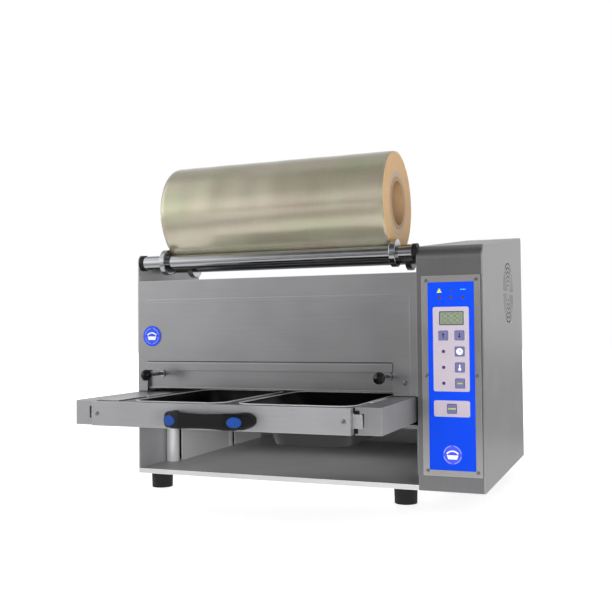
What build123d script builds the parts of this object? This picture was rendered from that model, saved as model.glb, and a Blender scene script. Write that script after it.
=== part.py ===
from build123d import *
import math
import os

os.makedirs("parts", exist_ok=True)

# Tabletop film sealing machine for trays.  +X is the operator's right, +Y runs from the
# operator into the machine and +Z is up.  The origin is on the bench, under the middle of the
# whole machine with its drawer pulled out.  All sizes are millimetres.

# ---- Housing ----
bay_width = 532.0          # sealing bay, left of the control box
control_width = 108.0
housing_depth = 480.0
control_depth = 437.0
panel_height = 355.0       # top of the front panel above the base
sheet = 2.0                # stainless sheet of the housing
foot_height = 30.0
foot_radius = 20.0
base_lip = 8.5             # height of the floor above the base's lower edge
ear_depth = 229.0          # the left side panel rises here to carry the rollers
ear_rise = 49.0            # top of the ear above the front panel
ear_corner = 13.0
control_rise = 41.5        # front of the control box's top above the front panel
control_slope = 6.45       # degrees, its top rises towards the back
control_front_corner = 22.0
control_back_corner = 10.0

# ---- Film roll and its rollers ----
roller_radius = 13.0
roller_pitch = 100.0
roller_front = 14.0        # front roller axis behind the panel
roller_rise = 34.2         # roller axes above the front panel
bush_length = 8.0
bush_radius = 14.5
journal_radius = 6.0
collar_radius = 23.5
collar_width = 11.0
film_radius = 90.0
film_width = 421.0
film_start = 64.0          # left end of the roll from the machine's left face
core_radius = 45.5
core_bore_radius = 38.0    # a three inch core

# ---- Drawer ----
drawer_open = 191.0        # how far the drawer stands out at rest
drawer_stop = 2.0          # how far it still stands out when closed
drawer_length = 430.0
drawer_top = 150.7         # above the base
drawer_height = 40.0
arm_width = 40.2
arm_gap = 3.3              # between an arm and the wall beside it
arm_wall = 2.5
plate_proud = 12.0
plate_left = 42.3          # front plate's ends, from the outsides of the bay
plate_right = 46.5
plate_margin = 0.5
handle_reach = 42.0
handle_width = 150.0
handle_height = 25.0
mould_length = 300.0
mould_thickness = 7.0
mould_left = 81.0          # mould plate's sides, from the outsides of the bay
mould_right = 46.5
cavity_length = 260.0
cavity_setback = 16.0      # from the front of the arms to the cavities
cavity_corner = 26.0
left_cavity_side = 100.0   # cavities' outer sides, from the outsides of the bay
right_cavity_side = 52.5
left_cavity_width = 162.0
right_cavity_width = 191.5
shallow_depth = 32.0
shallow_inset = 4.0        # how far the shallow pan narrows to its bottom
deep_depth = 62.0
deep_ledge = 28.0          # depth of the sloped ledge above the deep pan's tub
ledge_size = (146.0, 226.0)
tub_size = (128.0, 208.0)  # bottom of the tub
tub_corner = 32.0
tub_shift = 13.0           # tub to the right of its opening's middle
pan_wall = 1.2
rim_width = 3.5
rim_height = 1.5

# ---- Rails under the drawer ----
pillar_radius = 12.5
pillar_inset = 14.5        # pillar axes from the outside of the bay
pillar_front = 98.0        # front pillars behind the panel
pillar_back = 152.0        # rear pillars before the back of the housing
rail_thickness = 6.0
rail_drop = 6.7            # rail below the drawer's arms
blade_drop = 12.7          # top of the blade below the drawer's top
blade_width = 5.0
rail_start = 12.0
rail_back = 10.0

# ---- Access flap ----
flap_left = 20.0           # flap's ends, from the outsides of the bay
flap_right = 42.0
flap_top = 203.5           # hinge axis
flap_step = 192.6
flap_lift = 6.8            # bottom of the flap above the drawer
flap_recess = 8.0
flap_proud = 2.0           # strip in front of the panel
flap_foot = 4.5
flap_sheet = 1.5
pin_radius = 1.5
hem_radius = 3.0
knob_radius = 10.0
knob_rod_radius = 3.0
knob_reach = 50.0
knob_height = 184.0
knob_inset = 28.0          # knobs from the flap's left end
knob_right_inset = 8.0

# ---- Sealing head ----
press_travel = 12.0
press_clearance = 0.6      # cutting frames stop this far above the rims
cutter_height = 4.0
heater_thickness = 12.0
carrier_thickness = 6.0
head_left = 66.0           # head's sides, from the outsides of the bay
head_right = 32.0
head_front = 13.0
head_length = 272.0
guide_radius = 8.0
guide_drop = 17.0          # tops of the guide rods below the front panel's top
bridge_drop = 93.0
bridge_thickness = 10.0
bridge_front = 60.0
bridge_length = 190.0
screw_radius = 7.0

# ---- Control panel ----
faceplate_inset = 8.5      # from the left side of the control box
faceplate_width = 96.0
faceplate_bottom = 25.5
faceplate_top = 348.0
faceplate_thickness = 2.0
membrane_width = 75.0
membrane_bottom = 35.0
membrane_top = 337.3
membrane_thickness = 0.6
key_size = 15.0
key_proud = 0.8
key_depth = 2.4
key_travel = 0.5

# ---- Fan, mains and clearances ----
fan_size = 119.0
fan_thickness = 25.0
fan_from_front = 262.0
fan_height = 327.0
blade_count = 7
running = 0.05             # radial clearance of a shaft in its bush
loose = 0.3                # gap between parts that move past each other
snug = 0.02                # gap between parts assembled by hand

# ---- Places that follow from the sizes above ----
front_reach = drawer_open + plate_proud + handle_reach
x_left = -(bay_width + control_width) / 2
x_split = x_left + bay_width
x_right = x_split + control_width
y_panel = (front_reach - housing_depth) / 2
y_rear = y_panel + housing_depth
y_control_rear = y_panel + control_depth
z_base = foot_height
z_floor = z_base + base_lip
z_panel_bottom = z_base + drawer_top + 1.4
z_panel_top = z_base + panel_height
z_ear = z_panel_top + ear_rise
z_roller = z_panel_top + roller_rise
y_rollers = (y_panel + roller_front, y_panel + roller_front + roller_pitch)
roll_rise = math.sqrt((film_radius + roller_radius + loose) ** 2 - (roller_pitch / 2) ** 2)
y_roll = y_panel + roller_front + roller_pitch / 2
z_roll = z_roller + roll_rise
x_bay_middle = x_left + bay_width / 2
y_arms = y_panel - drawer_open
z_drawer = z_base + drawer_top
z_arm_bottom = z_drawer - drawer_height
z_rail_top = z_arm_bottom - rail_drop
z_rail_bottom = z_rail_top - rail_thickness
z_blade_top = z_drawer - blade_drop
z_rim_top = z_drawer
z_mould_top = z_drawer - rim_height
z_mould_bottom = z_mould_top - mould_thickness
z_cutter = z_rim_top + press_clearance + press_travel
z_heater = z_cutter + cutter_height
z_carrier = z_heater + heater_thickness
z_carrier_top = z_carrier + carrier_thickness
x_faceplate = (x_split + faceplate_inset, x_split + faceplate_inset + faceplate_width)
x_membrane = (x_faceplate[0] + x_faceplate[1]) / 2
y_face = y_panel - faceplate_thickness
y_membrane = y_face - membrane_thickness

made = []


def block(x, y, z, mode=Mode.ADD):
    """Add or cut a box, given its two ends along each axis."""
    with Locations(((x[0] + x[1]) / 2, (y[0] + y[1]) / 2, (z[0] + z[1]) / 2)):
        Box(x[1] - x[0], y[1] - y[0], z[1] - z[0], mode=mode)


def rod(centre, radius, length, turn, mode=Mode.ADD):
    """Add or cut a cylinder about its centre, turned from +Z by the given angles."""
    with Locations(Location(centre, turn)):
        Cylinder(radius, length, mode=mode)


ALONG_X = (0, 90, 0)
ALONG_Y = (90, 0, 0)
ALONG_Z = (0, 0, 0)


def save(builder, name):
    """Label a finished piece and write it to its own file."""
    builder.part.label = name
    export_step(builder.part, f"parts/{name}.step")
    made.append(name)


# ======== Housing ========

# Base tray: a folded floor with a skirt all round, open underneath.
with BuildPart() as base_tray:
    block((x_left, x_split), (y_panel, y_rear), (z_base, z_floor))
    block(
        (x_left + sheet, x_split - sheet),
        (y_panel + sheet, y_rear - sheet),
        (z_base, z_floor - sheet),
        Mode.SUBTRACT,
    )
save(base_tray, "base_tray")

# Left side panel: stands on the floor and rises to an ear that carries the rollers.
with BuildPart() as left_side_panel:
    with BuildSketch(Plane.YZ.offset(x_left)):
        with BuildLine():
            Polyline(
                (y_panel, z_floor),
                (y_rear - sheet, z_floor),
                (y_rear - sheet, z_panel_top),
                (y_panel + ear_depth, z_panel_top),
                (y_panel + ear_depth, z_ear),
                (y_panel, z_ear),
                close=True,
            )
        make_face()
        ear_points = vertices().group_by(Axis.Y)[-1]
        fillet(ear_points, ear_corner)
    extrude(amount=sheet)
    block(
        (x_left, x_left + sheet),
        (y_panel, y_panel + sheet),
        (z_panel_bottom, z_panel_top),
        Mode.SUBTRACT,
    )
save(left_side_panel, "left_side_panel")

# Bay liners: low walls between the rail pillars, one pair at each side of the bay.
liner_gap = 2.0
y_pillars = (y_panel + pillar_front, y_rear - pillar_back)
liner_spans = (
    (y_pillars[0] + pillar_radius + liner_gap, y_pillars[1] - pillar_radius - liner_gap),
    (y_pillars[1] + pillar_radius + liner_gap, y_rear - sheet),
)
liner_inset = pillar_inset + pillar_radius
with BuildPart() as bay_liners:
    for x in (x_left + liner_inset - sheet, x_split - liner_inset):
        for span in liner_spans:
            block((x, x + sheet), span, (z_floor, z_rail_bottom))
save(bay_liners, "bay_liners")

# Rail pillars: turned posts that stand on the floor and carry the two rails.
x_pillars = (x_left + pillar_inset, x_split - pillar_inset)
pillar_length = z_rail_bottom - z_floor
with BuildPart() as rail_pillars:
    for x in x_pillars:
        for y in y_pillars:
            rod((x, y, z_floor + pillar_length / 2), pillar_radius, pillar_length, ALONG_Z)
save(rail_pillars, "rail_pillars")

# Drawer rails: a flange on the pillars with an upright blade inside each drawer arm.
x_arms = (x_left + arm_gap, x_split - arm_gap - arm_width)
rail_side_gap = 1.0
with BuildPart() as drawer_rails:
    for x_arm, x_flange in (
        (x_arms[0], x_left + sheet + rail_side_gap),
        (x_arms[1], x_split - rail_side_gap - 2 * pillar_inset),
    ):
        blade = x_arm + arm_width / 2
        y_rail = (y_panel + rail_start, y_rear - rail_back)
        block((x_flange, x_flange + 2 * pillar_inset), y_rail, (z_rail_bottom, z_rail_top))
        block((blade - blade_width / 2, blade + blade_width / 2), y_rail,
              (z_rail_top, z_blade_top))
save(drawer_rails, "drawer_rails")

# Rear cover: closes the back of the bay, with two rows of louvre slots, and the bay's side
# behind the control box.
louvre_count = 9
louvre_pitch = 34.0
louvre_length = 26.0
louvre_height = 5.0
louvre_drops = (100.0, 50.0)   # rows below the top of the cover
top_return = 10.0              # folded down edges of the top cover
with BuildPart() as rear_cover:
    block((x_left, x_split), (y_rear - sheet, y_rear), (z_floor, z_panel_top))
    block((x_split - sheet, x_split), (y_control_rear, y_rear - sheet),
          (z_floor, z_panel_top - sheet - top_return))
    block((x_split - sheet, x_split), (y_control_rear, y_rear - 2 * sheet - loose),
          (z_floor, z_panel_top - sheet))
    block((x_split - sheet, x_split), (y_control_rear, y_rear - rail_back + loose),
          (z_rail_bottom - loose, z_rail_top + loose), Mode.SUBTRACT)
    for drop in louvre_drops:
        with BuildSketch(Plane.XZ.offset(-y_rear)):
            with Locations((x_bay_middle, z_panel_top - drop)):
                with GridLocations(louvre_pitch, 0, louvre_count, 1):
                    SlotOverall(louvre_length, louvre_height)
        extrude(amount=sheet, mode=Mode.SUBTRACT)
save(rear_cover, "rear_cover")

# Top cover: closes the bay under the rollers, with a long slot where the film goes down.
film_slot_width = 14.0
film_slot_from_front = 262.0
with BuildPart() as top_cover:
    x_cover = (x_left + sheet, x_split)
    y_cover = (y_panel + sheet, y_rear - sheet)
    block(x_cover, y_cover, (z_panel_top - sheet, z_panel_top))
    block(x_cover, (y_cover[0], y_cover[0] + sheet),
          (z_panel_top - sheet - top_return, z_panel_top - sheet))
    block(x_cover, (y_cover[1] - sheet, y_cover[1]),
          (z_panel_top - sheet - top_return, z_panel_top - sheet))
    y_slot = y_panel + film_slot_from_front
    block((x_bay_middle - film_width / 2, x_bay_middle + film_width / 2),
          (y_slot - film_slot_width / 2, y_slot + film_slot_width / 2),
          (z_panel_top - sheet, z_panel_top), Mode.SUBTRACT)
save(top_cover, "top_cover")

# Front panel: one sheet with a notch for the flap, a pressed bead and a fold near its right end.
bead_left = 17.0           # bead's ends, from the outsides of the bay
bead_right = 43.0
bead_drop = 37.5           # below the panel's top
bead_width = 5.0
bead_proud = 1.2
fold_inset = 11.0          # from the right end of the panel
fold_width = 2.6
fold_proud = 0.6
fold_drop = 39.0
cheek_depth = 10.0
flap_gap = 0.6
panel_screw_radius = 2.5
panel_screw_head = 4.0
panel_screws_x = (x_left + 10.0, x_split - 20.6)
z_panel_screws = z_panel_bottom + 21.3
x_bead = (x_left + bead_left, x_split - bead_right)
x_fold = x_split - fold_inset
x_flap = (x_left + flap_left, x_split - flap_right)
z_notch_top = z_base + flap_top + hem_radius + flap_gap
with BuildPart() as front_panel:
    block((x_left, x_split), (y_panel, y_panel + sheet), (z_panel_bottom, z_panel_top))
    block((x_flap[0] - flap_gap, x_flap[1] + flap_gap), (y_panel, y_panel + sheet),
          (z_panel_bottom, z_notch_top), Mode.SUBTRACT)
    for x in (x_flap[0] - flap_gap - sheet, x_flap[1] + flap_gap):
        block((x, x + sheet), (y_panel + sheet, y_panel + sheet + cheek_depth),
              (z_panel_bottom, z_notch_top))
    with BuildSketch(Plane.XZ.offset(-y_panel)):
        with Locations(((x_bead[0] + x_bead[1]) / 2, z_panel_top - bead_drop)):
            SlotOverall(x_bead[1] - x_bead[0], bead_width)
    extrude(amount=bead_proud)
    block((x_fold - fold_width / 2, x_fold + fold_width / 2), (y_panel - fold_proud, y_panel),
          (z_panel_bottom, z_panel_top - fold_drop))
    for x in panel_screws_x:
        rod((x, y_panel + sheet / 2, z_panel_screws), panel_screw_radius, sheet, ALONG_Y,
            Mode.SUBTRACT)
save(front_panel, "front_panel")

# Round badge on the front panel, slightly domed at its edge.
badge_radius = 19.0
badge_thickness = 1.4
badge_centre = (x_left + 30.2, z_panel_top - 102.0)
with BuildPart() as front_badge:
    with BuildSketch(Plane.XZ.offset(-y_panel)):
        with Locations(badge_centre):
            Circle(badge_radius)
    extrude(amount=badge_thickness)
    chamfer(edges().group_by(Axis.Y)[0], badge_thickness / 2)
save(front_badge, "front_badge")

# Feet: tapered rubber feet under the bay, each with a boss up to the floor and a screw recess.
foot_left = 26.0           # feet, from the outsides of the bay and from its front and back
foot_right = 33.0
foot_front = 40.0
foot_back = 38.0
foot_taper = 2.0           # degrees
foot_recess_radius = 6.0
foot_boss_radius = 12.0
foot_recess_depth = 4.0
with BuildPart() as feet:
    for x in (x_left + foot_left, x_split - foot_right):
        for y in (y_panel + foot_front, y_rear - foot_back):
            with BuildSketch(Plane.XY.offset(foot_height)):
                with Locations((x, y)):
                    Circle(foot_radius)
            extrude(amount=-foot_height, taper=foot_taper)
            rod((x, y, (foot_height + z_floor - sheet) / 2), foot_boss_radius,
                z_floor - sheet - foot_height, ALONG_Z)
            rod((x, y, foot_recess_depth / 2), foot_recess_radius, foot_recess_depth, ALONG_Z,
                Mode.SUBTRACT)
save(feet, "feet")

# ======== Control box ========

slope_rise = control_depth * math.tan(math.radians(control_slope))


def control_outline(inset):
    """Return the control box's side outline as a flat sketch, shrunk by an inset."""
    with BuildSketch(mode=Mode.PRIVATE) as outline:
        with BuildLine():
            Polyline(
                (y_panel + inset, z_base + inset),
                (y_control_rear - inset, z_base + inset),
                (y_control_rear - inset, z_panel_top + control_rise + slope_rise - inset),
                (y_panel + inset, z_panel_top + control_rise - inset),
                close=True,
            )
        make_face()
        top_front = outline.vertices().group_by(Axis.X)[0].sort_by(Axis.Y)[-1]
        fillet(top_front, control_front_corner - inset)
        top_back = outline.vertices().group_by(Axis.X)[-1].sort_by(Axis.Y)[-1]
        fillet(top_back, control_back_corner - inset)
    return outline.sketch


# Control shell: left wall, front, top, bottom and a framed back, open on the right.
rear_opening = (z_base + 30.0, z_panel_top + 17.0)
rear_opening_margin = 12.0
front_opening = (z_base + 46.0, z_base + 330.0)
front_opening_margin = 5.0
x_label = (x_membrane - membrane_width / 2, x_membrane + membrane_width / 2)
with BuildPart() as control_shell:
    with BuildSketch(Plane.YZ.offset(x_split)):
        add(control_outline(0))
    extrude(amount=control_width - sheet)
    with BuildSketch(Plane.YZ.offset(x_split + sheet)):
        add(control_outline(sheet))
    extrude(amount=control_width, mode=Mode.SUBTRACT)
    block(
        (x_split + rear_opening_margin, x_right - rear_opening_margin),
        (y_control_rear - sheet, y_control_rear),
        rear_opening,
        Mode.SUBTRACT,
    )
    block((x_label[0] + front_opening_margin, x_label[1] - front_opening_margin),
          (y_panel, y_panel + sheet), front_opening, Mode.SUBTRACT)
save(control_shell, "control_shell")

# Side cover: the right side of the control box, with rings of slots over the fan.
vent_rings = (15.0, 23.0, 31.0, 39.0, 47.0, 55.0)
vent_slot = 3.2
vent_spokes = 8
vent_spoke_width = 4.5
fan_centre = (y_panel + fan_from_front, z_base + fan_height)
with BuildPart() as side_cover:
    with BuildSketch(Plane.YZ.offset(x_right - sheet)):
        add(control_outline(0))
    extrude(amount=sheet)
    with BuildSketch(Plane.YZ.offset(x_right)):
        with Locations(fan_centre):
            for ring in sorted(vent_rings, reverse=True):
                Circle(ring + vent_slot / 2)
                Circle(ring - vent_slot / 2, mode=Mode.SUBTRACT)
            with PolarLocations(vent_rings[-1] / 2, vent_spokes):
                Rectangle(vent_rings[-1] + 2 * vent_slot, vent_spoke_width, mode=Mode.SUBTRACT)
    extrude(amount=-sheet, mode=Mode.SUBTRACT)
save(side_cover, "side_cover")

# Rear plate of the control box, fixed behind its framed opening, with the mains cut-out.
rear_plate_lap = 7.0
rear_louvre_drop = 68.0
rear_louvre_pitch = 12.0
rear_louvre_count = 6
mains_width = 50.0
mains_height = 58.0
mains_lip = 4.0
z_mains = z_base + 95.0
x_mains = x_split + control_width / 2
y_rear_plate = y_control_rear - sheet
with BuildPart() as control_rear_plate:
    block(
        (x_split + rear_opening_margin - rear_plate_lap,
         x_right - rear_opening_margin + rear_plate_lap),
        (y_rear_plate - sheet, y_rear_plate),
        (rear_opening[0] - rear_plate_lap, rear_opening[1] + rear_plate_lap),
    )
    block(
        (x_mains - mains_width / 2, x_mains + mains_width / 2),
        (y_rear_plate - sheet, y_rear_plate),
        (z_mains - mains_height / 2, z_mains + mains_height / 2),
        Mode.SUBTRACT,
    )
    with BuildSketch(Plane.XZ.offset(-y_rear_plate)):
        with Locations((x_mains, rear_opening[1] - rear_louvre_drop)):
            with GridLocations(0, rear_louvre_pitch, 1, rear_louvre_count):
                SlotOverall(control_width / 2, louvre_height)
    extrude(amount=sheet, mode=Mode.SUBTRACT)
save(control_rear_plate, "control_rear_plate")

# Power entry: a moulded body with a three-pole inlet below and a frame for the rocker above.
entry_depth = 28.0
inlet_width = 27.5
inlet_height = 19.5
inlet_depth = 16.0
inlet_drop = 14.0
blade_pins = ((-7.0, -2.0), (0.0, 2.0), (7.0, -2.0))
blade_pin_size = (2.0, 5.0)
rocker_width = 24.0
rocker_height = 14.0
rocker_rise = 15.0
rocker_pocket = 12.0
rocker_pivot_depth = 5.0
trunnion_radius = 1.5
trunnion_length = 1.2
y_entry = y_rear_plate + sheet
with BuildPart() as power_entry:
    block(
        (x_mains - mains_width / 2 + snug, x_mains + mains_width / 2 - snug),
        (y_entry - entry_depth, y_rear_plate),
        (z_mains - mains_height / 2 + snug, z_mains + mains_height / 2 - snug),
    )
    block(
        (x_mains - mains_width / 2 - mains_lip, x_mains + mains_width / 2 + mains_lip),
        (y_rear_plate, y_entry),
        (z_mains - mains_height / 2 - mains_lip, z_mains + mains_height / 2 + mains_lip),
    )
    with BuildSketch(Plane.XZ.offset(-y_entry)):
        with Locations((x_mains, z_mains - inlet_drop)):
            RectangleRounded(inlet_width, inlet_height, 3)
    extrude(amount=inlet_depth, mode=Mode.SUBTRACT)
    for dx, dz in blade_pins:
        z_pin = z_mains - inlet_drop + dz
        block(
            (x_mains + dx - blade_pin_size[0] / 2, x_mains + dx + blade_pin_size[0] / 2),
            (y_entry - inlet_depth, y_entry - inlet_depth / 4),
            (z_pin - blade_pin_size[1] / 2, z_pin + blade_pin_size[1] / 2),
        )
    block(
        (x_mains - rocker_width / 2, x_mains + rocker_width / 2),
        (y_entry - rocker_pocket, y_entry),
        (z_mains + rocker_rise - rocker_height / 2, z_mains + rocker_rise + rocker_height / 2),
        Mode.SUBTRACT,
    )
    rod((x_mains, y_entry - rocker_pivot_depth, z_mains + rocker_rise), trunnion_radius + running,
        rocker_width + 2 * trunnion_length, ALONG_X, Mode.SUBTRACT)
save(power_entry, "power_entry")

# Rocker of the main switch: a shallow vee that tips about a crosswise axis.
z_rocker = z_mains + rocker_rise
y_rocker = y_entry - rocker_pivot_depth
rocker_half = rocker_height / 2 - loose - 0.7
with BuildPart() as switch_rocker:
    with BuildSketch(Plane.YZ.offset(x_mains - rocker_width / 2 + loose)):
        with BuildLine():
            Polyline(
                (y_rocker - 3.5, z_rocker - 3.5),
                (y_rocker + 3.2, z_rocker - rocker_half),
                (y_rocker + 5.0, z_rocker - rocker_half),
                (y_rocker + 3.6, z_rocker),
                (y_rocker + 5.0, z_rocker + rocker_half),
                (y_rocker + 3.2, z_rocker + rocker_half),
                (y_rocker - 3.5, z_rocker + 3.5),
                close=True,
            )
        make_face()
    extrude(amount=rocker_width - 2 * loose)
    rod((x_mains, y_rocker, z_rocker), trunnion_radius,
        rocker_width + 2 * (trunnion_length - loose), ALONG_X)
save(switch_rocker, "switch_rocker")

# Faceplate: a flat stainless plate on the front of the control box, slotted for each key.
x_keys = (x_membrane - 12.5, x_membrane + 13.7)
lower_rows = (z_base + 225.5, z_base + 200.0, z_base + 174.5)
keys = {
    "key_up": (x_keys[0], z_base + 251.2),
    "key_down": (x_keys[1], z_base + 251.2),
    "key_timer": (x_keys[1], lower_rows[0]),
    "key_temperature": (x_keys[1], lower_rows[1]),
    "key_mode": (x_keys[1], lower_rows[2]),
    "key_start": (x_membrane, z_base + 133.8),
}
window_size = (39.5, 22.0)
window_centre = (x_membrane + 1.0, z_base + 279.0)
lamp_radius = 2.4
lamp_pitch = 19.2
lamps = [(x_membrane + 1.0 + lamp_pitch * step, z_base + 312.3) for step in (-1, 0, 1)]
lamps += [(x_keys[0], z) for z in lower_rows]
screw_inset = 7.5
face_screw_radius = 2.0
face_screw_head = 2.9
face_screws = [
    (x, z)
    for x in (x_faceplate[0] + screw_inset, x_faceplate[1] - screw_inset)
    for z in (
        z_base + faceplate_bottom + screw_inset,
        z_base + (faceplate_bottom + faceplate_top) / 2,
        z_base + faceplate_top - screw_inset,
    )
]
with BuildPart() as control_faceplate:
    block(x_faceplate, (y_face, y_panel), (z_base + faceplate_bottom, z_base + faceplate_top))
    fillet(edges().filter_by(Axis.Y), 1.0)
    with BuildSketch(Plane.XZ.offset(-y_face)):
        with Locations(*keys.values()):
            RectangleRounded(key_size + 2 * loose, key_size + 2 * loose, 1.5)
        with Locations(window_centre):
            RectangleRounded(*window_size, 1)
        with Locations(*lamps):
            Circle(lamp_radius)
        with Locations(*face_screws):
            Circle(face_screw_radius)
    extrude(amount=-faceplate_thickness, mode=Mode.SUBTRACT)
save(control_faceplate, "control_faceplate")

# Membrane label on the faceplate, cut out for the keys, the display and the lamps.
z_membrane = z_base + (membrane_bottom + membrane_top) / 2
with BuildPart() as membrane_label:
    with BuildSketch(Plane.XZ.offset(-y_face)):
        with Locations((x_membrane, z_membrane)):
            RectangleRounded(membrane_width, membrane_top - membrane_bottom, 1.5)
        with Locations(*keys.values()):
            RectangleRounded(
                key_size + 2 * loose, key_size + 2 * loose, 1.5, mode=Mode.SUBTRACT
            )
        with Locations(window_centre):
            RectangleRounded(*window_size, 1, mode=Mode.SUBTRACT)
        with Locations(*lamps):
            Circle(lamp_radius, mode=Mode.SUBTRACT)
    extrude(amount=membrane_thickness)
save(membrane_label, "membrane_label")

# Display window, flush with the membrane and let into the faceplate.
with BuildPart() as display_window:
    with BuildSketch(Plane.XZ.offset(-y_panel)):
        with Locations(window_centre):
            RectangleRounded(window_size[0] - 2 * snug, window_size[1] - 2 * snug, 1)
    extrude(amount=faceplate_thickness + membrane_thickness)
save(display_window, "display_window")

# Lamps: three state lamps above the display and one beside each lower setting key.
with BuildPart() as indicator_lamps:
    with BuildSketch(Plane.XZ.offset(-y_panel)):
        with Locations(*lamps):
            Circle(lamp_radius - snug)
    extrude(amount=faceplate_thickness + membrane_thickness)
save(indicator_lamps, "indicator_lamps")

# Keys: each a cap that stands a little proud and is pressed in by half a millimetre.
for key_name, key_centre in keys.items():
    with BuildPart() as key:
        with BuildSketch(Plane.XZ.offset(-(y_membrane - key_proud))):
            with Locations(key_centre):
                RectangleRounded(key_size, key_size, 1.2)
        extrude(amount=-key_depth)
        chamfer(edges().group_by(Axis.Y)[0], key_proud / 2)
    save(key, key_name)

# Control board behind the faceplate, with one switch under each key and two tall parts.
board_setback = 9.0
board_thickness = 1.6
board_width = 64.0
board_margin = 6.0
tall_part = (24.0, 9.0, 36.0)
tall_part_drops = (70.0, 210.0)
switch_radius = 3.0
y_board = y_panel + board_setback
y_board_back = y_board + board_thickness
y_switch = y_membrane - key_proud + key_depth + key_travel + loose
z_board = (front_opening[0] + board_margin, front_opening[1] - board_margin)
with BuildPart() as control_board:
    block((x_membrane - board_width / 2, x_membrane + board_width / 2),
          (y_board, y_board_back), z_board)
    for x, z in keys.values():
        rod((x, (y_board + y_switch) / 2, z), switch_radius, y_board - y_switch, ALONG_Y)
    for drop in tall_part_drops:
        block((x_membrane - tall_part[0] / 2, x_membrane + tall_part[0] / 2),
              (y_board_back, y_board_back + tall_part[1]),
              (z_board[1] - drop - tall_part[2], z_board[1] - drop))
save(control_board, "control_board")

# Power supply: a finned block on the left wall of the control box.
supply_body = 34.0
supply_height = 150.0
supply_length = 110.0
supply_from_front = 180.0
supply_lift = 60.0
fin_depth = 18.0
fin_thickness = 3.0
fin_pitch = 11.0
fin_start = 8.0
fin_count = 9
x_supply = x_split + sheet + supply_body
y_supply = y_panel + supply_from_front
z_supply = (z_base + supply_lift, z_base + supply_lift + supply_height)
with BuildPart() as power_supply:
    block((x_split + sheet, x_supply), (y_supply, y_supply + supply_length), z_supply)
    for index in range(fin_count):
        y_fin = y_supply + fin_start + fin_pitch * index
        block((x_supply, x_supply + fin_depth), (y_fin, y_fin + fin_thickness), z_supply)
save(power_supply, "power_supply")

# Fan frame: a square frame with a round duct, a hub boss and four struts.
fan_duct_radius = 56.5
fan_hub_radius = 20.0
fan_blade_radius = 54.5
fan_cover_gap = 2.0
x_fan = x_right - sheet - fan_cover_gap - fan_thickness
strut_thickness = 4.0
strut_width = 5.0
with BuildPart() as fan_frame:
    with BuildSketch(Plane.YZ.offset(x_fan)):
        with Locations(fan_centre):
            RectangleRounded(fan_size, fan_size, 5)
            Circle(fan_duct_radius, mode=Mode.SUBTRACT)
    extrude(amount=fan_thickness)
    with BuildSketch(Plane.YZ.offset(x_fan)):
        with Locations(fan_centre):
            Circle(fan_hub_radius)
            with PolarLocations(fan_duct_radius / 2, 4, start_angle=45):
                Rectangle(fan_duct_radius + 2, strut_width)
            Circle(journal_radius / 2 + running, mode=Mode.SUBTRACT)
    extrude(amount=strut_thickness)
save(fan_frame, "fan_frame")

# Fan impeller: a hub cap with slanted blades and a shaft in the frame's boss.
blade_thickness = 2.0
blade_twist = 35.0
impeller_gap = 1.5
x_impeller = x_fan + strut_thickness + impeller_gap
impeller_depth = fan_thickness - strut_thickness - 2 * impeller_gap
with BuildPart() as fan_impeller:
    rod((x_impeller + impeller_depth / 2, *fan_centre), fan_hub_radius, impeller_depth, ALONG_X)
    rod((x_fan + (strut_thickness + impeller_gap) / 2, *fan_centre), journal_radius / 2,
        strut_thickness + impeller_gap, ALONG_X)
    blade_middle = (fan_hub_radius + fan_blade_radius) / 2 - 1
    blade_span = fan_blade_radius - fan_hub_radius
    for index in range(blade_count):
        angle = 360 / blade_count * index
        blade_place = (
            Location((x_impeller + impeller_depth / 2, *fan_centre))
            * Location((0, 0, 0), (angle, 0, 0))
            * Location((0, 0, blade_middle), (0, 0, blade_twist))
        )
        with Locations(blade_place):
            Box(impeller_depth, blade_thickness, blade_span)
save(fan_impeller, "fan_impeller")

# ======== Film roll and rollers ========

# Roller bushes: black plastic bushes on the ear and on the control box wall.
x_bushes = (x_left + sheet, x_split - bush_length)
with BuildPart() as roller_bushes:
    for y in y_rollers:
        for x in x_bushes:
            rod((x + bush_length / 2, y, z_roller), bush_radius, bush_length, ALONG_X)
            rod((x + bush_length / 2, y, z_roller), journal_radius + running, bush_length,
                ALONG_X, Mode.SUBTRACT)
save(roller_bushes, "roller_bushes")

# Rollers: a polished tube with a journal at each end and two collars that keep the roll central.
collar_gap = 2.3
x_roller = (x_left + sheet + bush_length + loose, x_split - bush_length - loose)
roller_length = x_roller[1] - x_roller[0]
film_end = film_start + film_width
x_collars = (x_left + film_start - collar_gap - collar_width, x_left + film_end + collar_gap)
journal_length = bush_length - 1.0 + loose
for roller_name, y in zip(("front_roller", "rear_roller"), y_rollers):
    with BuildPart() as roller:
        rod(((x_roller[0] + x_roller[1]) / 2, y, z_roller), roller_radius, roller_length, ALONG_X)
        rod(((x_roller[0] + x_roller[1]) / 2, y, z_roller), journal_radius,
            roller_length + 2 * journal_length, ALONG_X)
        for x in x_collars:
            with BuildSketch(Plane.YZ.offset(x)):
                with Locations((y, z_roller)):
                    Circle(collar_radius)
            extrude(amount=collar_width)
        collar_edges = edges().filter_by(
            lambda edge: edge.geom_type == GeomType.CIRCLE
            and abs(edge.radius - collar_radius) < snug
        )
        fillet(collar_edges, 1.5)
    save(roller, roller_name)

# Film wound on its core, and the cardboard core itself.
x_film = x_left + film_start
with BuildPart() as film_wrap:
    rod((x_film + film_width / 2, y_roll, z_roll), film_radius, film_width, ALONG_X)
    rod((x_film + film_width / 2, y_roll, z_roll), core_radius, film_width, ALONG_X,
        Mode.SUBTRACT)
    fillet(edges().filter_by(lambda edge: edge.geom_type == GeomType.CIRCLE
                             and edge.radius > core_radius + 1), 1.0)
save(film_wrap, "film_wrap")

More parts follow.
